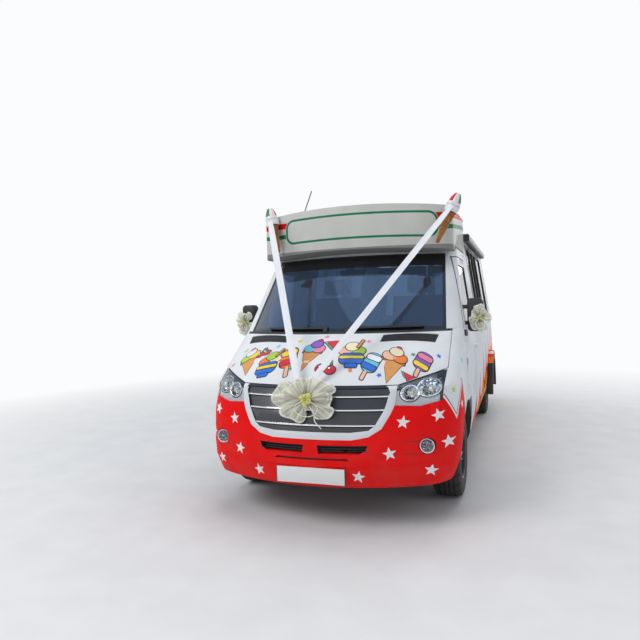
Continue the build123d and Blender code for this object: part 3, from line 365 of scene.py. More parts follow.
class Graph:
    """Short calls for building one material's nodes."""

    def __init__(self, name):
        self.material = bpy.data.materials.new(name)
        self.material.use_nodes = True
        self.tree = self.material.node_tree
        self.shader = self.tree.nodes["Principled BSDF"]
        self.place = self.new("TexCoord", {}, "Object")

    def put(self, value, socket):
        """Link a wire to a socket, or write a value on it."""
        if isinstance(value, Wire):
            self.tree.links.new(value.socket, socket)
        elif socket.type == "RGBA" and len(value) == 3:
            socket.default_value = (*value, 1)
        else:
            socket.default_value = value

    def new(self, kind, inputs, output=0, **settings):
        """The output of a new node with these inputs and settings."""
        node = self.tree.nodes.new(f"ShaderNode{kind}")
        for key, value in settings.items():
            setattr(node, key, value)
        for key, value in inputs.items():
            self.put(value, node.inputs[key])
        return Wire(self, node.outputs[output])

    def math(self, operation, *values):
        """One operation with one or two values."""
        return self.new("Math", dict(enumerate(values)), operation=operation)

    def most(self, first, *others):
        """The largest of some values."""
        for other in others:
            first = self.math("MAXIMUM", first, other)
        return first

    def distance(self, across, up):
        """How far a point of a plane is from its origin."""
        return self.math("SQRT", across ** 2 + up ** 2)

    def axes(self):
        """The place along X, Y and Z."""
        node = self.tree.nodes.new("ShaderNodeSeparateXYZ")
        self.put(self.place, node.inputs[0])
        return [Wire(self, output) for output in node.outputs]

    def noise(self, scale, detail=3.0, place=None):
        """Even noise, from zero to one."""
        return self.new("TexNoise", {"Scale": scale, "Detail": detail, "Vector": place or self.place}, "Fac")

    def facets(self, scale):
        """Flat cells, for moulded reflectors."""
        return self.new("TexVoronoi", {"Scale": scale, "Vector": self.place}, "Distance")

    def ramp(self, value, low, high, start=0.0, end=1.0):
        """From low to high while the value goes from start to end."""
        inputs = {"Value": value, "From Min": start, "From Max": end, "To Min": low, "To Max": high}
        return self.new("MapRange", inputs, "Result", clamp=True)

    def share(self, value, start, end):
        """From zero to one while the value goes from start to end."""
        return self.ramp(value, 0, 1, start, end)

    def mix(self, share, first, second):
        """The first colour where the share is zero, and the second where it is one."""
        return self.new("Mix", {0: share, 6: first, 7: second}, 2, data_type="RGBA")

    def around(self, middle, scale):
        """Fine noise in rays about a point, in the plane that faces the front."""
        axes = self.axes()
        across = axes[0] - middle[0]
        up = axes[2] - middle[2]
        rays = self.new("CombineXYZ", {0: self.math("ARCTAN2", up, across), 1: self.distance(across, up)})
        return self.noise(scale, 3, rays)

    def oval(self, across, up, middle, half):
        """One on an oval's edge and less inside it."""
        return self.distance((across - middle[0]) / half[0], (up - middle[1]) / half[1])

    def curve(self, value, points, soft):
        """A height over a length, through points of both; every other one can be soft."""
        node = self.tree.nodes.new("ShaderNodeFloatCurve")
        start, end = points[0][0], points[-1][0]
        low, high = EDGE_RANGE
        curve = node.mapping.curves[0]
        for index, (x, y) in enumerate(points):
            at = ((x - start) / (end - start), (y - low) / (high - low))
            point = curve.points[0] if index == 0 else curve.points.new(*at)
            if index == len(points) - 1:
                curve.points.remove(point)
                point = curve.points[-1]
            point.location = at
            point.handle_type = "AUTO" if soft and index % 2 == 1 else "VECTOR"
        node.mapping.update()
        self.put(self.share(value, start, end), node.inputs["Value"])
        return self.ramp(Wire(self, node.outputs[0]), low, high)

    def seen(self):
        """One where the camera, a mirror or glass looks."""
        rays = self.tree.nodes.new("ShaderNodeLightPath").outputs
        kinds = ("Is Camera Ray", "Is Glossy Ray", "Is Transmission Ray")
        return self.most(*(Wire(self, rays[kind]) for kind in kinds))

    def bump(self, height, strength, distance):
        """Let the surface look as if it had this height."""
        normal = self.new("Bump", {"Height": height, "Strength": strength, "Distance": distance})
        self.put(normal, self.shader.inputs["Normal"])

    def set(self, **values):
        """Fill in the shader's inputs and give the finished material."""
        for key, value in values.items():
            self.put(value, self.shader.inputs[key.replace("_", " ")])
        return self.material

    def send(self, share, first, second, output):
        """Mix two shaders and send them to the output node."""
        self.put(self.new("MixShader", {0: share, 1: first, 2: second}), self.tree.nodes[output].inputs[0])


def shades(graph, colour, spread, scale=6.0):
    """A colour with slight lighter and darker patches."""
    dark = [c * (1 - spread) for c in colour]
    light = [min(1, c * (1 + spread)) for c in colour]
    return graph.mix(graph.share(graph.noise(scale, 5), 0.35, 0.65), dark, light)


def lacquer(graph, colour):
    """Sprayed paint under a clear coat, with a faint orange peel and a little dust on the lower skirt."""
    low_down = graph.ramp(graph.axes()[2], 0.16, 0, 0.3, 0.75)
    dust = low_down * graph.ramp(graph.noise(9, 6), 0.2, 1, 0.3, 0.7)
    graph.bump(graph.noise(220, 1), 0.04, 0.0005)
    return graph.set(Base_Color=graph.mix(dust, colour, (0.23, 0.2, 0.17)), Roughness=0.4,
                     Specular_IOR_Level=0.0, Coat_Weight=0.16, Coat_Roughness=0.04)


def gloss_paint(name, colour):
    """One colour of lacquer."""
    graph = Graph(name)
    return lacquer(graph, shades(graph, colour, 0.025))


def plain(name, colour, roughness, metallic=0.0, spread=0.08, scale=14.0, grain=400.0, rough=0.15, **more):
    """A finish with uneven colour, uneven gloss and a fine grain."""
    graph = Graph(name)
    graph.bump(graph.noise(grain), rough, 0.0006)
    gloss = graph.ramp(graph.noise(scale * 2.5, 4), roughness * 0.8, min(1, roughness * 1.2))
    colour = shades(graph, colour, spread, scale)
    return graph.set(Base_Color=colour, Roughness=gloss, Metallic=metallic, **more)


def clear(name, tint, index):
    """Glass with faint smears."""
    graph = Graph(name)
    smears = graph.ramp(graph.noise(4, 5), 0, 0.01, 0.4, 0.8)
    tint = shades(graph, tint, 0.02)
    return graph.set(Base_Color=tint, Roughness=smears, Transmission_Weight=1.0, IOR=index)


WING_EDGE = [
    # y, z of the red paint's upper edge
    (-2.76, 0.82), (-2.618, 0.915), (-2.53, 0.74), (-2.335, 1), (-2.215, 0.8), (-2.16, 0.64), (-1.4, 0.44),
]
BUMPER_EDGE = [(-2.9, 1.28), (-2.8, 1.27), *WING_EDGE[1:]]
FLARE_EDGE = [(1, 0.6), (1.4, 0.93), (1.48, 0.85), (1.56, 0.87), (1.72, 0.98), (1.95, 0.99), (2.1, 1.1)]
TAIL_EDGE = [(-0.3, 1), (0.1, 0.98), (0.16, 0.74), (0.36, 1.12), (0.44, 0.76), (0.66, 1.18), (0.74, 0.8),
             (1.02, 1.24), (1.2, 0.9)]
FLAME_EDGE = [
    # y, z of the flames' tips and, after each, of the hollow behind it
    (-1.5, 0.42), (-1.25, 0.43), (-0.82, 0.66), (-0.66, 0.47), (-0.3, 0.8), (-0.1, 0.53), (0.36, 0.98),
    (0.55, 0.62), (0.92, 1.05), (1.1, 0.72), (1.52, 1.16), (1.7, 0.8), (2.08, 1.2), (2.24, 0.84),
    (2.6, 1.27), (2.74, 0.92), (2.95, 1.22),
]
OUTLINE = (0.05, 0.04, 0.06)


def livery(name, edge, flames, run=1):
    """White paint above a red edge with a white and a thin dark outline, which runs along one axis."""
    graph = Graph(name)
    colours = bpy.context.scene.truck_colours
    line = bpy.context.scene.truck_sizes.line_width
    axes = graph.axes()
    along = axes[1] if run else abs(axes[0])
    if flames:
        along = along - axes[2] * 0.35
    shift = 0.25 if flames else 0.0
    points = [(y - shift, z) for y, z in edge]

    def grown(width):
        """How deep a point lies below the red edge, grown by a width on all sides."""
        tops = [graph.curve(along + move, points, flames) for move in (-width, 0, width)]
        return graph.most(*tops) + width - axes[2]

    depth = graph.curve(along, points, flames) - axes[2]
    red = shades(graph, colours.red, 0.03)
    if flames:
        stretched = graph.new("Mapping", {"Scale": (1, 1, 3), "Vector": graph.place})
        licks = depth + graph.ramp(graph.noise(3, 2, stretched), -0.1, 0.1)
        red = graph.mix(graph.share(licks, 0.05, 0.16), red, colours.orange)
        red = graph.mix(graph.share(licks, 0.17, 0.3), red, (0.95, 0.5, 0.03))
    painted = graph.mix(depth > 0, (0.85, 0.85, 0.85), red)
    painted = graph.mix(grown(line) > 0, OUTLINE, painted)
    painted = graph.mix(grown(line * 1.5) > 0, shades(graph, colours.white, 0.025), painted)
    return lacquer(graph, painted)


AXLES = (-1.94, 1.725)
AXLE_HEIGHT = 0.35
ARCH_RADIUS = 0.4412
INTAKE = ((0.054, 0.407), (0.5435, 0.6035))
# a thin recess in the bumper, painted black as its shade: reach across, low and high edge
BUMPER_SLOT = (0.28, (0.4975, 0.5125))
PAINT_SLOTS = {"scuttle": "black_plastic", "front_bumper": "red_paint"}


def line_panel(piece, node, black, inner):
    """Black arches, bumper intakes and door seals, painted shade in the bumper's thin slot, and a pale lining
    inside the doors and side panels.
    """
    walled = node.startswith(("cab_door", "side_panel", "rear_door"))
    for finish in (black, inner)[:1 + walled]:
        piece.data.materials.append(finish)

    def lining(face):
        at, normal = face.center, face.normal
        dark = any(math.hypot(at.y - axle, at.z - AXLE_HEIGHT) < ARCH_RADIUS for axle in AXLES)
        if node == "front_bumper":
            (near, far), (low, high) = INTAKE
            reach, (bottom, top) = BUMPER_SLOT
            opening = near < abs(at.x) < far and low < at.z < high
            # the thin slot is painted black as the shade in its recess
            opening = opening or (abs(at.x) < reach and bottom < at.z < top)
            dark = opening or (dark and abs(normal.y) > 0.3 and at.y > -2.4)
        elif node.startswith("cab_door"):
            dark = dark or (abs(normal.x) < 0.5 and at.z > 1.3)
        elif node == "rear_arch_flares":
            dark = dark or at.z < 0.735
        inwards = normal.x * at.x < 0 and abs(normal.x) > 0.5
        if node.startswith("rear_door"):
            inwards = normal.y < -0.5
        return 1 if dark else 2 * (walled and inwards)

    choose(piece, lining)


class TRUCK_OT_body(bpy.types.Operator):
    """Paint and round the body panels"""

    bl_idname = "truck.body"
    bl_label = "Body panels"

    def execute(self, context):
        colours = context.scene.truck_colours
        gloss_paint("red paint", colours.red)
        paints = {
            "bonnet roof_panel": gloss_paint("white paint", colours.white),
            "scuttle": plain("cowl plastic", (0.03, 0.03, 0.032), 0.55),
            "front_bumper": livery("bumper paint", BUMPER_EDGE, False),
            "front_wings": livery("wing paint", WING_EDGE, False),
            "rear_arch_flares": livery("flare paint", FLARE_EDGE, True),
            "cab_door_left cab_door_right side_panel_left side_panel_right":
                livery("flame paint", FLAME_EDGE, True),
            "rear_door_left rear_door_right": livery("rear door paint", TAIL_EDGE, True, 0),
        }
        black = plain("lining plastic and slot shade", (0.02, 0.02, 0.022), 0.5)
        inner = plain("cabin lining", (0.74, 0.74, 0.72), 0.5, spread=0.03)
        for nodes, paint in paints.items():
            for node in nodes.split():
                piece = remade(node, f"{node}_painted", context.scene.truck_sizes.edge_radius, paint,
                               slot=PAINT_SLOTS.get(node, "white_paint"))
                line_panel(piece, node, black, inner)
        return {"FINISHED"}


MOUTH_HALF = (
    # height and half width of the grille's opening
    (0.694, 0.3), (0.706, 0.41), (0.738, 0.454), (0.846, 0.516), (0.962, 0.552), (0.992, 0.54), (1.005, 0.54),
)
BAR_ROWS = ((0.93, 0.939), (0.838, 0.847), (0.733, 0.742))
LAMP_BULBS = (
    # x, y of the bowl's bottom, z
    (0.688, -2.7, 0.95), (0.812, -2.638, 0.972),
)
REFLECTOR_OVALS = (
    # middle across and up, half width and half height
    ((0.682, 0.95), (0.06, 0.052)), ((0.806, 0.982), (0.078, 0.058)),
)
FOG_PLACE = (0.795, -2.7525, 0.587)
BULB = (
    # radius and height of a bulb's outline
    (0, 0), (0.011, 0), (0.013, 0.004), (0.013, 0.01), (0.007, 0.014), (0.007, 0.036), (0.005, 0.041),
    (0, 0.043),
)
FOG_BOWL = (
    # radius and height of a fog lamp's reflector
    (0, 0.003), (0.014, 0.0026), (0.016, 0.0006), (0.03, 0.0012), (0.0445, 0.003), (0.0445, 0), (0, -0.002),
)
FOG_RING = ((0.044, -0.004), (0.0525, -0.004), (0.0525, 0.002), (0.051, 0.004), (0.046, 0.002),
            (0.044, -0.004))
LAMP_RIM = ((0.047, 0), (0.053, 0), (0.0525, 0.005), (0.051, 0.006), (0.049, 0.006), (0.0475, 0.005),
            (0.047, 0))
SLACK = 0.0005


def grille_finish(face):
    """Chrome bars and dark louvres inside the grille's opening, and the surround's paint outside it."""
    x, _, z = face.center
    for (low, wide_low), (high, wide_high) in zip(MOUTH_HALF, MOUTH_HALF[1:]):
        if low - SLACK < z < high + SLACK:
            half = wide_low + (wide_high - wide_low) * (z - low) / (high - low)
            bar = any(low - SLACK < z < high + SLACK for low, high in BAR_ROWS)
            return (1 + bar) * (abs(x) < half + 2 * SLACK)
    return 0


def tail_finish():
    """Clear, amber and red fields with dark lines between, under a fluted lens."""
    graph = Graph("tail lamp")
    up = graph.axes()[2]
    share = graph.share(up, *(corner[2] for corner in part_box("tail_lamps")))
    colour = graph.mix(share > 0.3, (0.62, 0.6, 0.58), (0.85, 0.22, 0.01))
    colour = graph.mix(share > 0.55, colour, (0.48, 0.008, 0.008))
    for at in (0.3, 0.55):
        colour = graph.mix(abs(share - at) < 0.008, colour, (0.03, 0.03, 0.03))
    graph.bump(graph.math("PINGPONG", up, 0.004), 0.6, 0.4)
    return graph.set(Base_Color=colour, Roughness=0.14, Specular_IOR_Level=0.5, Coat_Weight=0.3)


def reflector_finish():
    """Chrome ovals round the two bowls with a painted highlight line on their rims, a dark outer corner and a
    grey lower strip.
    """
    graph = Graph("lamp housing")
    x, _, z = graph.axes()
    across = abs(x)
    nearest = graph.math("MINIMUM", *(graph.oval(across, z, *oval) for oval in REFLECTOR_OVALS))
    chrome = nearest < 1
    # the pale line along each oval's edge is a painted highlight of the rim
    line = abs(nearest - 1) < 0.045
    corner = graph.most(z - across * 0.25 > 0.818, across > 0.874)
    outside = graph.mix(corner, (0.47, 0.48, 0.5), (0.02, 0.021, 0.024))
    outside = graph.mix(abs(nearest - 1.13) < 0.07, outside, (0.05, 0.05, 0.055))
    colour = graph.mix(chrome, outside, (0.42, 0.43, 0.45))
    graph.bump(graph.facets(34) * chrome, 1, 0.01)
    return graph.set(Base_Color=graph.mix(line, colour, (0.92, 0.93, 0.95)), Metallic=chrome - line * 0.9,
                     Roughness=graph.ramp(chrome, 0.3, 0.08))


def lens_front(across, up):
    """Where the headlamp glass has its front, in the truck's length."""
    out = across - 0.62
    rise = up - 0.96
    return -2.768 + out * (0.458 + 0.729 * (out - 0.12)) + rise * (0.57 + 5.6 * rise)


def lamp_rim(sign, middle, half):
    """A thin oval rim that lies just behind the headlamp glass."""
    rim = turned(LAMP_RIM, 56)
    for corner in rim.data.vertices:
        turn = math.atan2(corner.co.y, corner.co.x)
        past = math.hypot(corner.co.x, corner.co.y) - 0.05
        x = sign * middle[0] + math.cos(turn) * (half[0] + past)
        z = middle[1] + math.sin(turn) * (half[1] + past)
        corner.co = (x, lens_front(abs(x), z) + 0.0095 - corner.co.z, z)
    smooth(rim)
    return rim


def lamp_set(name, outline, steps, angle, places, finish, slot):
    """One round piece at each of its places, on both sides."""
    shape = turned(outline, steps)
    smooth(shape, angle)
    copies = [twin(shape, towards((0, -1, 0), (sign * x, y, z))) for _, sign in SIDES for x, y, z in places]
    bpy.data.objects.remove(shape)
    place(joined(copies), name, "root", finish, slot=slot)


def plate_finish():
    """A blank pale plate with a dark line at its ends."""
    graph = Graph("plate face")
    low, high = (corner[0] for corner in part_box("number_plates"))
    ends = abs(graph.axes()[0] - (low + high) / 2) > (high - low) / 2 - 0.007
    graph.bump(graph.noise(900, 2), 0.08, 0.0004)
    face = shades(graph, (0.78, 0.79, 0.77), 0.02)
    return graph.set(Base_Color=graph.mix(ends, face, (0.02, 0.02, 0.02)), Roughness=0.3)


class TRUCK_OT_front(bpy.types.Operator):
    """Dress the grille, the lamps and the number plates"""

    bl_idname = "truck.front"
    bl_label = "Grille and lamps"

    def execute(self, context):
        surround = gloss_paint("grille surround", [c * 0.94 for c in context.scene.truck_colours.white])
        louvre = plain("grille louvre", (0.028, 0.03, 0.036), 0.3, Coat_Weight=0.3)
        chrome = plain("chrome", (0.75, 0.76, 0.78), 0.08, 1, spread=0.02, rough=0.01)
        grille = remade("grille", "grille_dressed", 0.0015, surround, louvre, chrome, slot="grille_black")
        choose(grille, grille_finish)
        coat("headlamps", clear("lamp glass", (0.95, 0.97, 0.98), 1.12))
        coat("tail_lamps", tail_finish())
        remade("lamp_bowls", "lamp_housings", 0.001, reflector_finish(), slot="lamp_silver")
        rims = [lamp_rim(sign, *oval) for _, sign in SIDES for oval in REFLECTOR_OVALS]
        place(joined(rims), "reflector_rims", "root", chrome, slot="lamp_silver")
        fog = Graph("fog lamp reflector")
        fog.bump(fog.facets(60), 1, 0.01)
        fog.set(Base_Color=shades(fog, (0.17, 0.18, 0.2), 0.1), Metallic=1.0, Roughness=0.12)
        glass = plain("bulb glass", (0.85, 0.86, 0.84), 0.1, spread=0.03)
        lamp_set("lamp_bulbs", BULB, 20, 32, LAMP_BULBS, glass, "lamp_glass")
        lamp_set("fog_lamp_rings", FOG_RING, 40, 32, [FOG_PLACE], chrome, "lamp_silver")
        lamp_set("fog_lamp_reflectors", FOG_BOWL, 40, 12, [FOG_PLACE], fog.material, "lamp_silver")
        remade("number_plates", "blank_plates", 0.001, plate_finish(), slot="plate_white")
        return {"FINISHED"}


SCREEN_CLEAR = (1.395, 1.915)
SCREEN_HALF = 0.964
SCREEN_LEAN = 0.094


class TRUCK_OT_glass(bpy.types.Operator):
    """Glaze the windscreen and the windows"""

    bl_idname = "truck.glass"
    bl_label = "Glass"

    def execute(self, context):
        graph = Graph("windscreen glass")
        x, _, z = graph.axes()
        low, high = SCREEN_CLEAR
        band = graph.most(z > high, z < low, abs(x) + z * SCREEN_LEAN > SCREEN_HALF)
        # the blue tint of the screen is a painted sky reflection
        tint = shades(graph, (0.19, 0.32, 0.54), 0.03)
        graph.set(Base_Color=graph.mix(band, tint, (0.012, 0.012, 0.014)), Roughness=0.01,
                  Transmission_Weight=0.92 - band * 0.92, IOR=1.75)
        coat("windscreen", graph.material)
        coat("side_glass cab_door_glass_left cab_door_glass_right rear_door_glass_left rear_door_glass_right",
             clear("window glass", (0.13, 0.16, 0.19), 1.22))
        return {"FINISHED"}


class TRUCK_OT_carried(bpy.types.Operator):
    """Give the rest of the modelled parts their finishes"""

    bl_idname = "truck.carried"
    bl_label = "Chassis, cab and trim"

    def execute(self, context):
        coat("mirror_left mirror_right wipers antenna awning dashboard rear_step fuel_tank bonnet_vents "
             "window_trim steering_wheel", plain("black plastic", (0.025, 0.025, 0.027), 0.5))
        coat("chassis_frame front_axle rear_axle",
             plain("chassis paint", (0.03, 0.03, 0.033), 0.6, spread=0.2))
        coat("engine_block knuckle_left knuckle_right exhaust",
             plain("cast iron", (0.12, 0.11, 0.1), 0.6, 0.7, spread=0.25))
        coat("seats", plain("seat cloth", (0.05, 0.055, 0.065), 0.9, spread=0.2, grain=900.0, rough=0.5))
        coat("counter_unit soft_serve_machine",
             plain("brushed steel", (0.62, 0.62, 0.6), 0.3, 0.9, spread=0.05))
        coat("floor_pan", plain("floor sheet", (0.2, 0.2, 0.2), 0.6, spread=0.15))
        return {"FINISHED"}


SEAT_MIDDLE = 0.45


def rounded_block(middle, size, edge, segments):
    """A block with rounded edges."""
    piece = primitive("cube", size=1.0)
    edit(piece)
    bpy.ops.transform.resize(value=size, center_override=(0, 0, 0))
    bpy.ops.mesh.bevel(offset=edge, segments=segments, affect="EDGES")
    leave()
    smooth(piece, 50)
    return moved(piece, Matrix.Translation(middle))


class TRUCK_OT_trim(bpy.types.Operator):
    """Headrests, the inside mirror and the rear door's handle"""

    bl_idname = "truck.trim"
    bl_label = "Small trim"

    def execute(self, context):
        cloth = bpy.data.materials["seat cloth"]
        black = bpy.data.materials["black plastic"]
        _, (_, back, top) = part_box("seats")
        for side, sign in SIDES:
            middle = (sign * SEAT_MIDDLE, back - 0.055, top + 0.115)
            pieces = [rounded_block(middle, (0.26, 0.1, 0.17), 0.035, 4)]
            for shift in (-0.06, 0.06):
                foot = (sign * SEAT_MIDDLE + shift, back - 0.055, top - 0.015)
                pieces.append(moved(rod(0.006, 0.06), Matrix.Translation(foot)))
            place(joined(pieces), f"headrest_{side}", "root", cloth, slot="seat_cloth")
        mirror = rounded_block((-0.04, -1.56, 1.88), (0.24, 0.03, 0.065), 0.012, 3)
        stem = rounded_block((-0.04, -1.575, 1.925), (0.02, 0.03, 0.055), 0.004, 2)
        place(joined([mirror, stem]), "inside_mirror", "root", black, slot="black_plastic")
        grip = rounded_block((-0.075, 2.912, 1.19), (0.05, 0.03, 0.17), 0.008, 3)
        place(grip, "rear_door_handle", body_of("rear_door_right"), black, slot="black_plastic")
        return {"FINISHED"}


TYRE_HALF = [
    # across from the middle, out from the axle: the tread, its grooves and the side wall
    (0.0135, 0.35), (0.0155, 0.3425), (0.0225, 0.3425), (0.0245, 0.3498), (0.052, 0.3492), (0.054, 0.3415),
    (0.061, 0.3415), (0.063, 0.3486), (0.088, 0.3462), (0.0985, 0.3405), (0.106, 0.329), (0.112, 0.313),
    (0.1165, 0.29), (0.1172, 0.272), (0.115, 0.25), (0.112, 0.233), (0.113, 0.23), (0.1125, 0.224),
    (0.106, 0.217), (0.104, 0.209), (0.096, 0.205),
]
TREAD_STEPS = 96
CAP = ((0, 0), (0.01, 0), (0.0095, 0.02), (0.007, 0.03), (0, 0.034), (-0.012, 0.034), (-0.012, 0))
NUT = ((0, 0.0095), (0.012, 0.0095), (0.016, 0.006), (0.017, 0))
DISC = ((-0.01, 0.09), (-0.01, 0.15), (0.004, 0.15), (0.004, 0.09), (0.01, 0.086), (0.01, 0.06),
        (-0.01, 0.06), (-0.01, 0.09))
NUTS = 5
BARREL = 0.203


def treaded_tyre():
    """One tyre round the X axis, with notches across the shoulder ribs."""
    half = [(x, 0, r) for x, r in TYRE_HALF]
    other = [(-x, 0, r) for x, _, r in reversed(half)]
    tyre = spun(other + half + [other[0]], steps=TREAD_STEPS)

    def notch(face):
        step = math.atan2(face.center.z, face.center.y) / math.tau * TREAD_STEPS
        return 0.064 < abs(face.center.x) < 0.104 and math.floor(step) % 4 == 0

    pick(tyre, "polygons", notch)
    bpy.ops.mesh.inset(thickness=0.0012, depth=-0.006)
    leave()
    smooth(tyre, 28)
    return tyre


class TRUCK_OT_wheels(bpy.types.Operator):
    """Tyres with their tread, rims with caps and nuts, and brake discs"""

    bl_idname = "truck.wheels"
    bl_label = "Wheels"

    def execute(self, context):
        rubber = plain("tyre rubber", (0.028, 0.027, 0.026), 0.72, spread=0.25, scale=8.0, grain=260.0)
        graph = Graph("wheel silver")
        alloy = graph.set(Base_Color=shades(graph, (0.5, 0.51, 0.52), 0.05), Metallic=0.85,
                          Roughness=graph.ramp(graph.noise(30, 4), 0.24, 0.36))
        graph.bump(graph.noise(600, 2), 0.05, 0.0004)
        dark = plain("rim barrel", (0.03, 0.03, 0.032), 0.5)
        iron = plain("brake disc", (0.3, 0.29, 0.28), 0.4, 0.9, spread=0.15)
        tyre = treaded_tyre()
        cap, nut, disc = (spun([(across, 0, out) for across, out in outline], steps=steps)
                          for outline, steps in ((CAP, 32), (NUT, 6), (DISC, 48)))
        smooth(cap)
        smooth(disc)
        for wheel, sign in ((f"{end}_{side}", sign) for end in ("front", "rear") for side, sign in SIDES):
            low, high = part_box(f"tyre_{wheel}")
            middle = Vector([(a + b) / 2 for a, b in zip(low, high)])
            middle.z = high[2] - AXLE_HEIGHT
            hub = Matrix.Translation(middle) @ Matrix.Rotation(0.0 if sign > 0 else math.pi, 4, "Z")
            body = f"wheel_{wheel}"
            place(twin(tyre, hub), f"treaded_tyre_{wheel}", body, rubber, slot="tyre_rubber",
                  stands_for=[f"tyre_{wheel}"])
            rim = remade(f"rim_{wheel}", f"spoked_rim_{wheel}", 0.002, alloy, dark, slot="wheel_silver")

            def in_barrel(face):
                return abs(face.normal.x) < 0.5 and 0.1 < (face.center - middle).yz.length < BARREL

            choose(rim, in_barrel)
            rim_low, rim_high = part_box(f"rim_{wheel}")
            front = (rim_high if sign > 0 else rim_low)[0]
            outer = Matrix.Translation((front - middle.x - sign * 0.022, 0, 0)) @ hub
            pieces = [twin(cap, outer)]
            for number in range(NUTS):
                turn = Matrix.Rotation(math.tau * (number + 0.5) / NUTS, 4, "X")
                pieces.append(twin(nut, outer @ turn @ Matrix.Translation((-0.004, 0, 0.056))))
            place(joined(pieces), f"wheel_nuts_{wheel}", body, alloy, slot="wheel_silver")
            back = Matrix.Translation((-sign * 0.02, 0, 0))
            place(twin(disc, back @ hub), f"brake_disc_{wheel}", body, iron, slot="wheel_silver")
        for spare in (tyre, cap, nut, disc):
            bpy.data.objects.remove(spare)
        return {"FINISHED"}


PAINTS = {
    # name of a printed colour, or of the painted shadow under the bumper's creases: its value
    "outline": (0.05, 0.02, 0.015), "waffle": (0.75, 0.33, 0.08), "crust": (0.5, 0.19, 0.05),
    "pink": (0.85, 0.25, 0.38), "cream": (0.9, 0.8, 0.55), "lime": (0.42, 0.66, 0.04),
    "green": (0.03, 0.36, 0.18), "blue": (0.02, 0.17, 0.72), "sky": (0.15, 0.55, 0.75),
    "yellow": (0.95, 0.68, 0.03), "orange": (0.93, 0.22, 0.02), "shadow": (0.28, 0, 0),
    "red": (0.75, 0.02, 0.04), "peach": (0.9, 0.52, 0.36), "violet": (0.28, 0.12, 0.58),
    "white": (0.85, 0.86, 0.87),
}
TREAT_SHAPES = {
    # each treat: shape, across, up, width, height, turn, colour, all as shares of its height
    "cone": [
        ("wedge", 0, -0.16, 0.44, 0.78, 180, "waffle"), ("bar", 0, 0.05, 0.44, 0.08, 0, "crust"),
        ("disc", -0.1, 0.17, 0.27, 0.27, 0, "one"), ("disc", 0.1, 0.17, 0.27, 0.27, 0, "two"),
        ("disc", 0, 0.33, 0.26, 0.26, 0, "three"), ("disc", 0.02, 0.46, 0.09, 0.09, 0, "red"),
    ],
    "lolly": [
        ("bar", 0, -0.36, 0.08, 0.3, 0, "peach"), ("bar", 0, 0.12, 0.36, 0.68, 0, "one"),
        ("bar", 0, 0.28, 0.36, 0.2, 0, "two"), ("bar", 0, -0.06, 0.36, 0.16, 0, "three"),
    ],
    "tub": [
        ("disc", -0.14, 0.12, 0.28, 0.28, 0, "one"), ("disc", 0.14, 0.12, 0.28, 0.28, 0, "two"),
        ("disc", 0, 0.27, 0.3, 0.3, 0, "three"), ("bar", 0, -0.14, 0.5, 0.34, 0, "blue"),
        ("bar", 0, -0.1, 0.5, 0.09, 0, "yellow"), ("bar", 0, -0.36, 0.24, 0.1, 0, "blue"),
        ("bar", 0.16, 0.36, 0.05, 0.3, -24, "waffle"),
    ],
    "cherries": [
        ("bar", -0.1, 0.16, 0.05, 0.5, -20, "green"), ("bar", 0.13, 0.16, 0.05, 0.5, 22, "green"),
        ("disc", -0.2, -0.16, 0.4, 0.4, 0, "red"), ("disc", 0.2, -0.18, 0.4, 0.4, 0, "red"),
        ("disc", -0.26, -0.08, 0.1, 0.1, 0, "white"), ("disc", 0.13, -0.1, 0.1, 0.1, 0, "white"),
    ],
    "slice": [
        ("wedge", 0, 0, 0.9, 0.74, 180, "green"), ("wedge", 0, 0.03, 0.74, 0.62, 180, "white"),
        ("wedge", 0, 0.05, 0.66, 0.56, 180, "red"),
    ],
}
TREATS = [
    # treat, across, back along the bonnet, height, turn, and the colours that its shapes leave open
    ("cone", -0.67, -2.5, 0.35, 12, "lime", "yellow", "white"),
    ("tub", -0.455, -2.61, 0.34, -4, "orange", "cream", "lime"),
    ("cherries", -0.56, -2.45, 0.15, 10),
    ("lolly", -0.285, -2.615, 0.36, 10, "orange", "yellow", "red"),
    ("cone", -0.11, -2.56, 0.37, -8, "sky", "pink", "violet"),
    ("slice", 0.045, -2.46, 0.23, 6),
    ("cherries", 0.055, -2.69, 0.2, -6),
    ("tub", 0.215, -2.56, 0.37, 8, "peach", "lime", "cream"),
    ("lolly", 0.37, -2.64, 0.31, -14, "sky", "white", "blue"),
    ("cone", 0.53, -2.57, 0.39, -4, "peach", "orange", "cream"),
    ("slice", 0.655, -2.655, 0.15, -10),
    ("lolly", 0.73, -2.5, 0.3, -12, "violet", "pink", "yellow"),
]
SPRINKLES = [
    # small stars on the bonnet: across, back, colour
    (-0.26, -2.4, "yellow"), (-0.04, -2.37, "pink"), (0.135, -2.36, "yellow"), (0.31, -2.4, "pink"),
    (0.455, -2.705, "blue"), (0.66, -2.44, "green"), (-0.445, -2.42, "sky"), (-0.78, -2.33, "lime"),
    (0.84, -2.36, "blue"), (-0.23, -2.7, "green"), (0.24, -2.71, "orange"), (-0.845, -2.455, "pink"),
]
WHITE_STARS = [
    # across, height, turn
    (-0.668, 0.742, 8), (-0.603, 0.527, -10), (-0.426, 0.387, 14), (0.338, 0.385, -12), (0.552, 0.546, 10),
    (0.64, 0.757, -8), (0.868, 0.792, 16), (0.818, 0.415, -14), (0.93, 0.6, 6), (-0.868, 0.792, -16),
    (-0.818, 0.415, 12), (-0.935, 0.6, -6),
]
WING_STARS = (
    # on both wings: kind, along, height, width, height, turn, colour, layer
    ("star", -2.4, 0.83, 0.075, 0.075, 6, "white", 0), ("star", -2.513, 0.948, 0.055, 0.055, -8, "lime", 0),
    ("star", -2.18, 1.13, 0.055, 0.055, 12, "sky", 0),
)
# dark red lines of painted shadow under the bumper's creases by the fog lamps: across, height, turn
CREASE_SHADOWS = ((0.695, 0.626, 4), (0.7, 0.54, -6))
SLANT = 0.85
LAYER = 0.0005


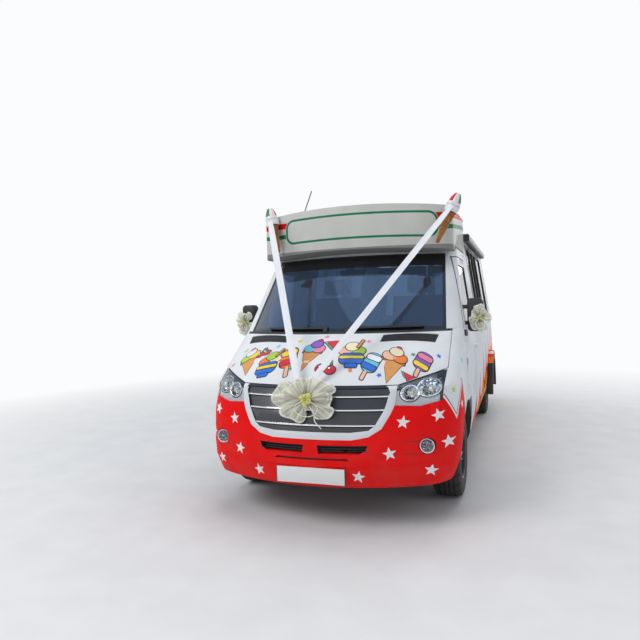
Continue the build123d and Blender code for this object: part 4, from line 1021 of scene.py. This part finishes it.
def decals(name, shapes, facing, target, body, slot):
    """Printed shapes or painted shadow lines on the panels, one piece for each colour: kind, place, size,
    turn, colour and layer.
    """
    finishes = {}
    groups = {}
    for *shape, colour, layer in shapes:
        kind, across, up, width, height, turn = shape
        groups.setdefault((colour, layer), []).append(flat(kind, facing, across, up, width, height, turn))
    for (colour, layer), pieces in groups.items():
        if colour not in finishes:
            finishes[colour] = plain(f"{name} {colour}", PAINTS[colour], 0.3, spread=0.05, rough=0.02)
        whole = drape(joined(pieces), facing, target, LAYER * (1 + layer))
        place(whole, f"{name}_{colour}_{layer}", body, finishes[colour], slot=slot)


def treats():
    """Each shape of each treat, with a dark outline under it."""
    shapes = []
    for treat, across, back, height, turn, *three in TREATS:
        colours = dict(zip(("one", "two", "three"), three))
        rotation = Matrix.Rotation(math.radians(turn), 2)
        for number, (kind, dx, dy, wide, tall, own, colour) in enumerate(TREAT_SHAPES[treat]):
            at = rotation @ Vector((dx, dy)) * height
            spot = (across + at.x, back + at.y * SLANT)
            wide, tall = wide * height, tall * height * SLANT
            layer = 2 * (number // 2)
            shapes.append((kind, *spot, wide + 0.014, tall + 0.014, turn + own, "outline", layer))
            shapes.append((kind, *spot, wide, tall, turn + own, colours.get(colour, colour), layer + 1))
    return shapes


def sprinkles(width):
    """The small stars between the treats, each turned a little more than the last."""
    return [("star", across, back, width, width * SLANT, 11 * number, colour, 1)
            for number, (across, back, colour) in enumerate(SPRINKLES)]


class TRUCK_OT_artwork(bpy.types.Operator):
    """Stars on the nose, and treats and small stars on the bonnet"""

    bl_idname = "truck.artwork"
    bl_label = "Printed pictures"

    def execute(self, context):
        sizes = context.scene.truck_sizes
        skin = joined([copy_of(node) for node in ("front_bumper", "front_wings")])
        width = sizes.star_width
        stars = [("star", x, z, width, width, turn, "white", 0) for x, z, turn in WHITE_STARS]
        decals("nose_star", stars, "front", skin, "root", "white_paint")
        # painted shadow under the bumper's creases
        crease_shadows = [("bar", sign * x, z, 0.1, 0.006, sign * turn, "shadow", 0)
                 for _, sign in SIDES for x, z, turn in CREASE_SHADOWS]
        decals("bumper_crease", crease_shadows, "front", skin, "root", "red_paint")
        lip = drape(flat("lip", "front", 0, 0.459, 1.7, 0.011), "front", skin, -0.001, 0.0055)
        use_modifier(lip, "BEVEL", width=0.002, segments=2, limit_method="ANGLE")
        smooth(lip)
        place(lip, "bumper_lip", "root", bpy.data.materials["red paint"], slot="red_paint")
        bpy.data.objects.remove(skin)
        for side, _ in SIDES:
            wings = bpy.data.objects["front_wings_painted"]
            decals(f"wing_star_{side}", WING_STARS, side, wings, "root", "white_paint")
        bonnet = bpy.data.objects["bonnet_painted"]
        shapes = treats() + sprinkles(sizes.small_star_width)
        decals("bonnet_print", shapes, "top", bonnet, "bonnet", "white_paint")
        return {"FINISHED"}


CONE_FOOT = 0.015
CONE_SPREAD = 0.036
CONE_SIDES = 14
CONE_ROWS = 10
CONE_TABLE = (
    # foot, mouth
    ((0.768, -1.738, 2.096), (0.903, -1.7, 2.4)),
    ((-0.69, -1.766, 2.096), (-0.762, -1.738, 2.4)),
)
SOFT_ICE = (
    # radius and height of the swirl over a cone's mouth
    (0, 0), (0.052, 0), (0.06, 0.004), (0.0615, 0.012), (0.06, 0.022), (0.0575, 0.028), (0.057, 0.034),
    (0.053, 0.054), (0.046, 0.076), (0.036, 0.098), (0.026, 0.114), (0.013, 0.121), (0, 0.1225),
)
BAND_CORNER = 0.075
LINE_MIDDLE = (0.073, 2.284)
LINE_HALF = (0.692, 0.104)
LINE_ARCH = 0.028
SOFFIT = 2.092
FRONT_END = -1.6
SIDE_BANDS = ((2.221, 2.259), (2.312, 2.366))


def board_finish(colours, width):
    """A green line with round corners on the board's front, two bands round its sides, and painted shade on
    its underside.
    """
    graph = Graph("sign moulding")
    x, y, z = graph.axes()
    face = shades(graph, colours.moulding, 0.03)
    # below the soffit's edge the moulding is painted darker as shade
    face = graph.mix(z > SOFFIT, [c * 0.45 for c in colours.moulding], face)
    green = shades(graph, colours.green, 0.08)
    red = shades(graph, (0.62, 0.01, 0.012), 0.05)
    across = abs(x - LINE_MIDDLE[0]) - (LINE_HALF[0] - BAND_CORNER)
    up = abs(z - LINE_MIDDLE[1] + x * x * LINE_ARCH) - (LINE_HALF[1] - BAND_CORNER)
    outside = graph.distance(graph.most(across, 0), graph.most(up, 0))
    reach = outside + graph.math("MINIMUM", graph.most(across, up), 0)
    front = y < FRONT_END
    face = graph.mix((abs(reach - BAND_CORNER) < width / 2) * front, face, green)
    side = graph.most(1.0 - front, reach > 0.09)
    level = z - graph.ramp(y, 0, 0.085, -1.66, -0.8)
    for (low, high), colour in zip(SIDE_BANDS, (green, red)):
        face = graph.mix((level > low) * (level < high) * side, face, colour)
    graph.bump(graph.noise(160), 0.05, 0.0006)
    return graph.set(Base_Color=face, Roughness=graph.ramp(graph.noise(14, 4), 0.28, 0.42),
                     Specular_IOR_Level=0.0, Coat_Weight=0.12, Coat_Roughness=0.1)


def waffle_cone(length, finishes):
    """A waffle cone with a sunk pocket in each field."""
    wall = [(CONE_FOOT + CONE_SPREAD * n / CONE_ROWS, length * n / CONE_ROWS) for n in range(CONE_ROWS + 1)]
    cone = turned([(0, 0), *wall, (0.054, length + 0.002), (0, length + 0.002)], CONE_SIDES)

    def on_wall(face):
        return 0.004 < face.center.z < length - 0.002

    pick(cone, "polygons", lambda face: on_wall(face) and abs(face.normal.z) < 0.5)
    bpy.ops.mesh.inset(thickness=0.0035, depth=-0.0035, use_individual=True)
    leave()
    dress(cone.data, *finishes)

    def sunk(face):
        skin = (CONE_FOOT + CONE_SPREAD * face.center.z / length) * math.cos(math.pi / CONE_SIDES)
        return on_wall(face) and face.center.xy.length < skin - 0.0025

    choose(cone, sunk)
    smooth(cone, 20)
    return cone


def soft_ice(finishes):
    """A swirl of soft ice in three colours, by turns."""
    ice = turned(SOFT_ICE, 48)
    for corner in ice.data.vertices:
        if corner.co.z > 0.03:
            corner.co.xy *= 0.93 + 0.07 * abs(math.cos(3 * math.atan2(corner.co.y, corner.co.x)))
    dress(ice.data, *finishes)

    def flavour(face):
        sector = math.floor((math.degrees(math.atan2(face.center.y, face.center.x)) + 30) / 60) % 6
        return (1, 0, 2, 0, 1, 0)[sector] if face.center.z > 0.034 else 0

    choose(ice, flavour)
    smooth(ice, 40)
    return ice


class TRUCK_OT_sign(bpy.types.Operator):
    """Sign board with its green line, and the two display cones"""

    bl_idname = "truck.sign"
    bl_label = "Sign and cones"

    def execute(self, context):
        colours = context.scene.truck_colours
        roof = plain("sign roof", colours.moulding, 0.35, spread=0.03, Specular_IOR_Level=0.0,
                     Coat_Weight=0.12)
        face_finish = board_finish(colours, context.scene.truck_sizes.sign_line_width)
        board = remade("headboard", "sign_board", 0.009, face_finish, roof, slot="sign_moulding", segments=3)
        choose(board, lambda face: face.normal.z > 0.7 and face.center.y > -1.7)
        waffle = plain("cone waffle", (0.42, 0.17, 0.035), 0.45, spread=0.2, scale=25.0)
        pockets = plain("waffle pockets", (0.22, 0.085, 0.02), 0.55, spread=0.2, scale=25.0)
        ices = [plain("cone cream", (0.78, 0.77, 0.74), 0.28, spread=0.03),
                plain("cone green", colours.green, 0.3, spread=0.06),
                plain("cone red", (0.68, 0.01, 0.03), 0.3, spread=0.06)]
        pieces = []
        for foot, mouth in CONE_TABLE:
            axis = Vector(mouth) - Vector(foot)
            pieces.append(moved(waffle_cone(axis.length, [waffle, pockets]), towards(axis, foot)))
            pieces.append(moved(soft_ice(ices), towards(axis, mouth)))
            for share in (0.35, 0.85):
                at = Vector(foot) + axis * share
                shift = (-0.028 if at.x > 0 else 0.028) * share
                stay = moved(rod(0.009, 0.13), towards((0, 1, 0), (at.x + shift, at.y, at.z)))
                dress(stay.data, ices[0])
                pieces.append(stay)
        place(joined(pieces), "display_cones", "root", slot="cone_moulding", stands_for=["cones"])
        return {"FINISHED"}


def organza(name, colour, middle, cover):
    """Thin cloth that lets light through, creased in rays from the middle where it is gathered, with painted
    light and shade along the creases.
    """
    graph = Graph(name)
    creases = graph.around(middle, 9)
    graph.bump(creases, 0.8, 0.004)
    pale = [min(1, c * 1.25) for c in colour]
    crease_shade = [c * 0.72 for c in colour]
    # paler and darker copies of the cloth colour along the creases are painted light and shade
    return graph.set(Base_Color=graph.mix(graph.share(creases, 0.38, 0.62), crease_shade, pale), Roughness=0.5,
                     Sheen_Weight=0.3, Alpha=cover)


LOBES = (
    # direction in degrees, half width in degrees, length, height of its swell; all seen from the front
    (168, 38, 1.14, 0.55), (104, 26, 0.92, 0.35), (52, 34, 1.02, 0.7), (-4, 30, 0.78, 0.45),
    (-50, 24, 1.04, 0.6), (-126, 28, 1.14, 0.4), (140, 32, 0.84, 0.95), (20, 32, 0.72, 1),
    (-88, 22, 0.52, 0.75),
)
BOW_NODES = ("bow_front", "mirror_bow_left", "mirror_bow_right")
BOW_SHIFTS = (0.2, 0.04, 0.1)
BOW_REACHES = (1, 0.86, 0.9)
RIBBON_TABLE = (
    # lower end behind the bow, upper end beside a cone
    ((-0.09, -2.9208, 1.012), (-0.76, -1.791, 2.392)),
    ((-0.02, -2.9188, 1.012), (0.895, -1.7517, 2.396)),
)
WRAP = ((0.054, -0.052), (0.0585, -0.05), (0.0605, -0.024), (0.0625, 0), (0.0605, 0.001), (0.0585, -0.024),
        (0.0565, -0.05), (0.054, -0.052))
RIBBON_HALF = 0.029


def cloth_grid(across, along, cloths=()):
    """A grid of cloth, two metres each way, before it is laid in its shape."""
    piece = primitive("grid", x_subdivisions=across, y_subdivisions=along, size=2.0)
    dress(piece.data, *cloths)
    return piece


def petal(lobe, turn, size, depth, number, cloths):
    """One fan of cloth, gathered at the middle: a grid moved into a swollen lobe with a wired hem."""
    direction, half, length, swell = lobe
    piece = cloth_grid(28, 14, cloths)
    hem = len(piece.data.polygons) - 27
    choose(piece, lambda face: face.index >= hem)
    for corner in piece.data.vertices:
        across, out = corner.co.x, (corner.co.y + 1) / 2
        angle = math.radians(direction + turn + across * half * (0.8 + 0.35 * out))
        outline = (1 - abs(across * 0.985) ** 5) ** 0.2
        wave = 1 + 0.035 * math.sin(across * 5.0 + number * 2) * out
        reach = length * (0.03 + 0.97 * out * outline) * wave
        pleats = 0.1 * math.sin(across * 8.0 + number * 2.7) * math.sin(out * math.pi) * (1.1 - 0.6 * out)
        ruffle = 0.07 * math.sin(across * 6.5 + number * 1.9) * out ** 3
        puff = math.sin(math.pi * (0.08 + 0.8 * out)) * (1 - 0.45 * across * across)
        lift = depth * (0.08 + 0.72 * swell * puff + pleats + ruffle)
        lift = max(0, min(lift, depth * 0.97))
        corner.co = (math.cos(angle) * reach * size.x, -lift, math.sin(angle) * reach * size.z)
    return piece


def gathered_bow(low, high, middle, start, cloths):
    """Two layers of lobes round a small heart, inside the modelled bow's box."""
    size = (high - low) / 2
    depth = (high.y - low.y) * 0.93
    room = size * BOW_REACHES[start]
    pieces = [petal(lobe, 47.0 * start, room, depth, number, cloths) for number, lobe in enumerate(LOBES)]
    for number in range(7):
        curl = (51.4 * number, 26, 0.17 + 0.05 * (number % 2), 1)
        small = petal(curl, 47.0 * start, Vector((size.x, 0, size.x)), depth * 0.4, number, cloths)
        choose(small, lambda face: 2)
        pieces.append(moved(small, Matrix.Translation((0, -depth * 0.56, 0))))
    pieces += [hem_wire(points, depth, cloths) for points in tails(size)]
    bow = moved(joined(pieces), Matrix.Translation((middle.x, high.y - 0.003, middle.z)))
    use_modifier(bow, "SOLIDIFY", thickness=0.0008, offset=0.0)
    smooth(bow, 50)
    return bow


def tails(size):
    """Two wired ends of the hem: a loop below the heart, and a tail that hangs."""
    loop = [Vector((math.sin(turn) * 0.36 * size.x, 0, -0.42 * size.z - math.cos(turn) * 0.34 * size.z))
            for turn in (math.tau * (step / 24 - 0.5) for step in range(25))]
    tail = [Vector((size.x * (0.1 + 0.34 * share + 0.05 * math.sin(share * 7)), 0,
                    -size.z * (0.3 + 0.98 * share))) for share in (step / 16 for step in range(17))]
    return (loop, tail)


def hem_wire(points, depth, cloths):
    """A narrow band along a route, in the hem's colour."""
    last = len(points) - 1
    piece = cloth_grid(1, last, cloths)
    choose(piece, lambda face: 1)
    for corner in piece.data.vertices:
        step = round((corner.co.y + 1) / 2 * last)
        ahead = points[min(step + 1, last)] - points[max(step - 1, 0)]
        side = Vector((-ahead.z, 0, ahead.x)).normalized()
        corner.co = points[step] + side * corner.co.x * 0.0032 + Vector((0, -depth * 0.72, 0))
    return piece


def ribbons():
    """Two satin bands that are gathered at both ends, and a wrap round each cone's mouth."""
    satin = Graph("satin")
    satin.bump(satin.noise(900, 2), 0.12, 0.0003)
    satin.set(Base_Color=shades(satin, (0.83, 0.84, 0.86), 0.03, 12), Roughness=0.34, Sheen_Weight=0.3)
    pieces = []
    for number, (low, high) in enumerate(RIBBON_TABLE):
        low, high = Vector(low), Vector(high)
        along = (high - low).normalized()
        side = (Vector((1, 0, 0)) - along * along.x).normalized()
        face = side.cross(along)
        piece = cloth_grid(8, 60)
        for corner in piece.data.vertices:
            across, out = corner.co.x, (corner.co.y + 1) / 2
            gather = 1 - 0.35 * math.exp(-out * 14) - 0.3 * math.exp(-(1 - out) * 14)
            fold = 0.0012 * math.sin(across * 3.0 + out * 5.0 + number)
            fold += 0.004 * (1 - gather) * math.cos(across * 9)
            corner.co = low + (high - low) * out + side * across * RIBBON_HALF * gather + face * fold
        use_modifier(piece, "SOLIDIFY", thickness=0.0012, offset=0.0)
        smooth(piece, 60)
        pieces.append(piece)
    for foot, mouth in CONE_TABLE:
        wrap = turned(WRAP, 40)
        smooth(wrap, 50)
        pieces.append(moved(wrap, towards(Vector(mouth) - Vector(foot), mouth)))
    whole = joined(pieces)
    place(whole, "satin_ribbons", None, satin.material, slot="satin_white", stands_for=["ribbons"])
    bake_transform(whole)


class TRUCK_OT_bows(bpy.types.Operator):
    """Organza bows on the grille and the mirrors, and the satin ribbons"""

    bl_idname = "truck.bows"
    bl_label = "Bows and ribbons"

    def execute(self, context):
        cloth = context.scene.truck_colours.organza
        for number, node in enumerate(BOW_NODES):
            low, high = (Vector(corner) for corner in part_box(node))
            size = (high - low) / 2
            middle = (low + high) / 2 + Vector((size.x * BOW_SHIFTS[number], 0, size.z * 0.14))
            cloths = [organza(f"organza {number}", cloth, middle, 0.62),
                      organza(f"organza hem {number}", [min(1, c * 1.2) for c in cloth], middle, 0.9),
                      organza(f"bow heart {number}", (0.74, 0.7, 0.22), middle, 1)]
            bow = gathered_bow(low, high, middle, number, cloths)
            place(bow, f"organza_{node}", body_of(node), slot="organza", stands_for=[node])
        ribbons()
        return {"FINISHED"}


BACKDROP = (0.96, 0.97, 0.98)
CEILING = (0.3, 0.42, 0.62)
LIGHTS = (
    # name, place, width, power
    ("key", (-5, -8, 7.5), 6, 440), ("fill", (8, -5, 5), 6, 90), ("top", (0, 1, 9), 8, 330),
    ("back", (3, 9, 5), 6, 220),
)
AIM = Vector((0, 0, 1.1))
VIEW_PLACE = (1.417, -6.779, 1.583)
VIEW_TURN = (-18.96, -1.38, -1.73)


class Studio(Graph):
    """The same short calls for the nodes of the world."""

    def __init__(self, tree):
        self.tree = tree
        self.place = self.new("TexCoord", {}, "Generated")


def surround(tree):
    """Soft light from all sides, and a pale backdrop under a blue ceiling where it is seen."""
    background = tree.nodes["Background"]
    background.inputs["Color"].default_value = (0.75, 0.8, 0.88, 1)
    background.inputs["Strength"].default_value = 0.5
    studio = Studio(tree)
    sky = studio.mix(studio.share(studio.axes()[2], 0.5, 0.72), BACKDROP, CEILING)
    pale = studio.new("Background", {"Color": sky})
    studio.send(studio.seen(), Wire(studio, background.outputs[0]), pale, "World Output")


def floor_finish():
    """A pale floor that turns into the backdrop far from the truck."""
    graph = Graph("pale floor")
    graph.bump(graph.noise(60, 6), 0.2, 0.002)
    graph.set(Base_Color=shades(graph, (0.72, 0.72, 0.72), 0.03, 3), Roughness=0.85)
    x, y, _ = graph.axes()
    far = graph.share(graph.distance(x, y), 3.2, 8) * graph.seen()
    light = graph.new("Emission", {"Color": BACKDROP})
    graph.send(far, Wire(graph, graph.shader.outputs[0]), light, "Material Output")
    return graph.material


class TRUCK_OT_stage(bpy.types.Operator):
    """Set the floor, the backdrop, the lights and the camera"""

    bl_idname = "truck.stage"
    bl_label = "Stage"

    def execute(self, context):
        scene = context.scene
        scene.view_settings.view_transform = "Standard"
        floor = primitive("plane", size=60.0)
        floor.name = "floor"
        floor.data.materials.append(floor_finish())
        world = bpy.data.worlds.new("studio")
        scene.world = world
        world.use_nodes = True
        surround(world.node_tree)
        for name, at, size, power in LIGHTS:
            data = bpy.data.lights.new(name, "AREA")
            data.shape = "DISK"
            data.size = size
            data.energy = power
            lamp = bpy.data.objects.new(name, data)
            scene.collection.objects.link(lamp)
            lamp.location = at
            lamp.visible_glossy = name != "top"
            lamp.rotation_euler = (AIM - Vector(at)).to_track_quat("-Z", "Y").to_euler()
        yaw, pitch, roll = (math.radians(a) for a in VIEW_TURN)
        ahead = Vector((math.sin(yaw) * math.cos(pitch), math.cos(yaw) * math.cos(pitch), math.sin(pitch)))
        level = Vector((math.cos(yaw), -math.sin(yaw), 0))
        above = level.cross(ahead)
        right = level * math.cos(roll) + above * math.sin(roll)
        up = above * math.cos(roll) - level * math.sin(roll)
        data = bpy.data.cameras.new("camera")
        data.lens = 32.56
        data.sensor_width = 36.0
        data.clip_end = 200.0
        camera = bpy.data.objects.new("camera", data)
        scene.collection.objects.link(camera)
        turn = Matrix((right, up, -ahead)).transposed().to_4x4()
        camera.matrix_world = Matrix.Translation(VIEW_PLACE) @ turn
        scene.camera = camera
        return {"FINISHED"}


class TRUCK_PT_panel(bpy.types.Panel):
    """Sizes, colours and steps of the truck"""

    bl_label = "Ice cream truck"
    bl_idname = "TRUCK_PT_panel"
    bl_space_type = "VIEW_3D"
    bl_region_type = "UI"
    bl_category = "Ice cream truck"

    def draw(self, context):
        for group in (context.scene.truck_sizes, context.scene.truck_colours):
            box = self.layout.box()
            for name in group.__annotations__:
                box.prop(group, name)
        for step in STEPS:
            self.layout.operator(step.bl_idname)


STEPS = (TRUCK_OT_stage, TRUCK_OT_body, TRUCK_OT_front, TRUCK_OT_glass, TRUCK_OT_carried, TRUCK_OT_trim,
         TRUCK_OT_wheels, TRUCK_OT_artwork, TRUCK_OT_sign, TRUCK_OT_bows)
CLASSES = (TruckSizes, TruckColours, *STEPS, TRUCK_PT_panel)


def register():
    for item in CLASSES:
        bpy.utils.register_class(item)
    bpy.types.Scene.truck_sizes = PointerProperty(type=TruckSizes)
    bpy.types.Scene.truck_colours = PointerProperty(type=TruckColours)


def unregister():
    del bpy.types.Scene.truck_colours
    del bpy.types.Scene.truck_sizes
    for item in reversed(CLASSES):
        bpy.utils.unregister_class(item)


def main():
    register()
    for step in STEPS:
        area, name = step.bl_idname.split(".")
        getattr(getattr(bpy.ops, area), name)()


if __name__ == "__main__":
    main()
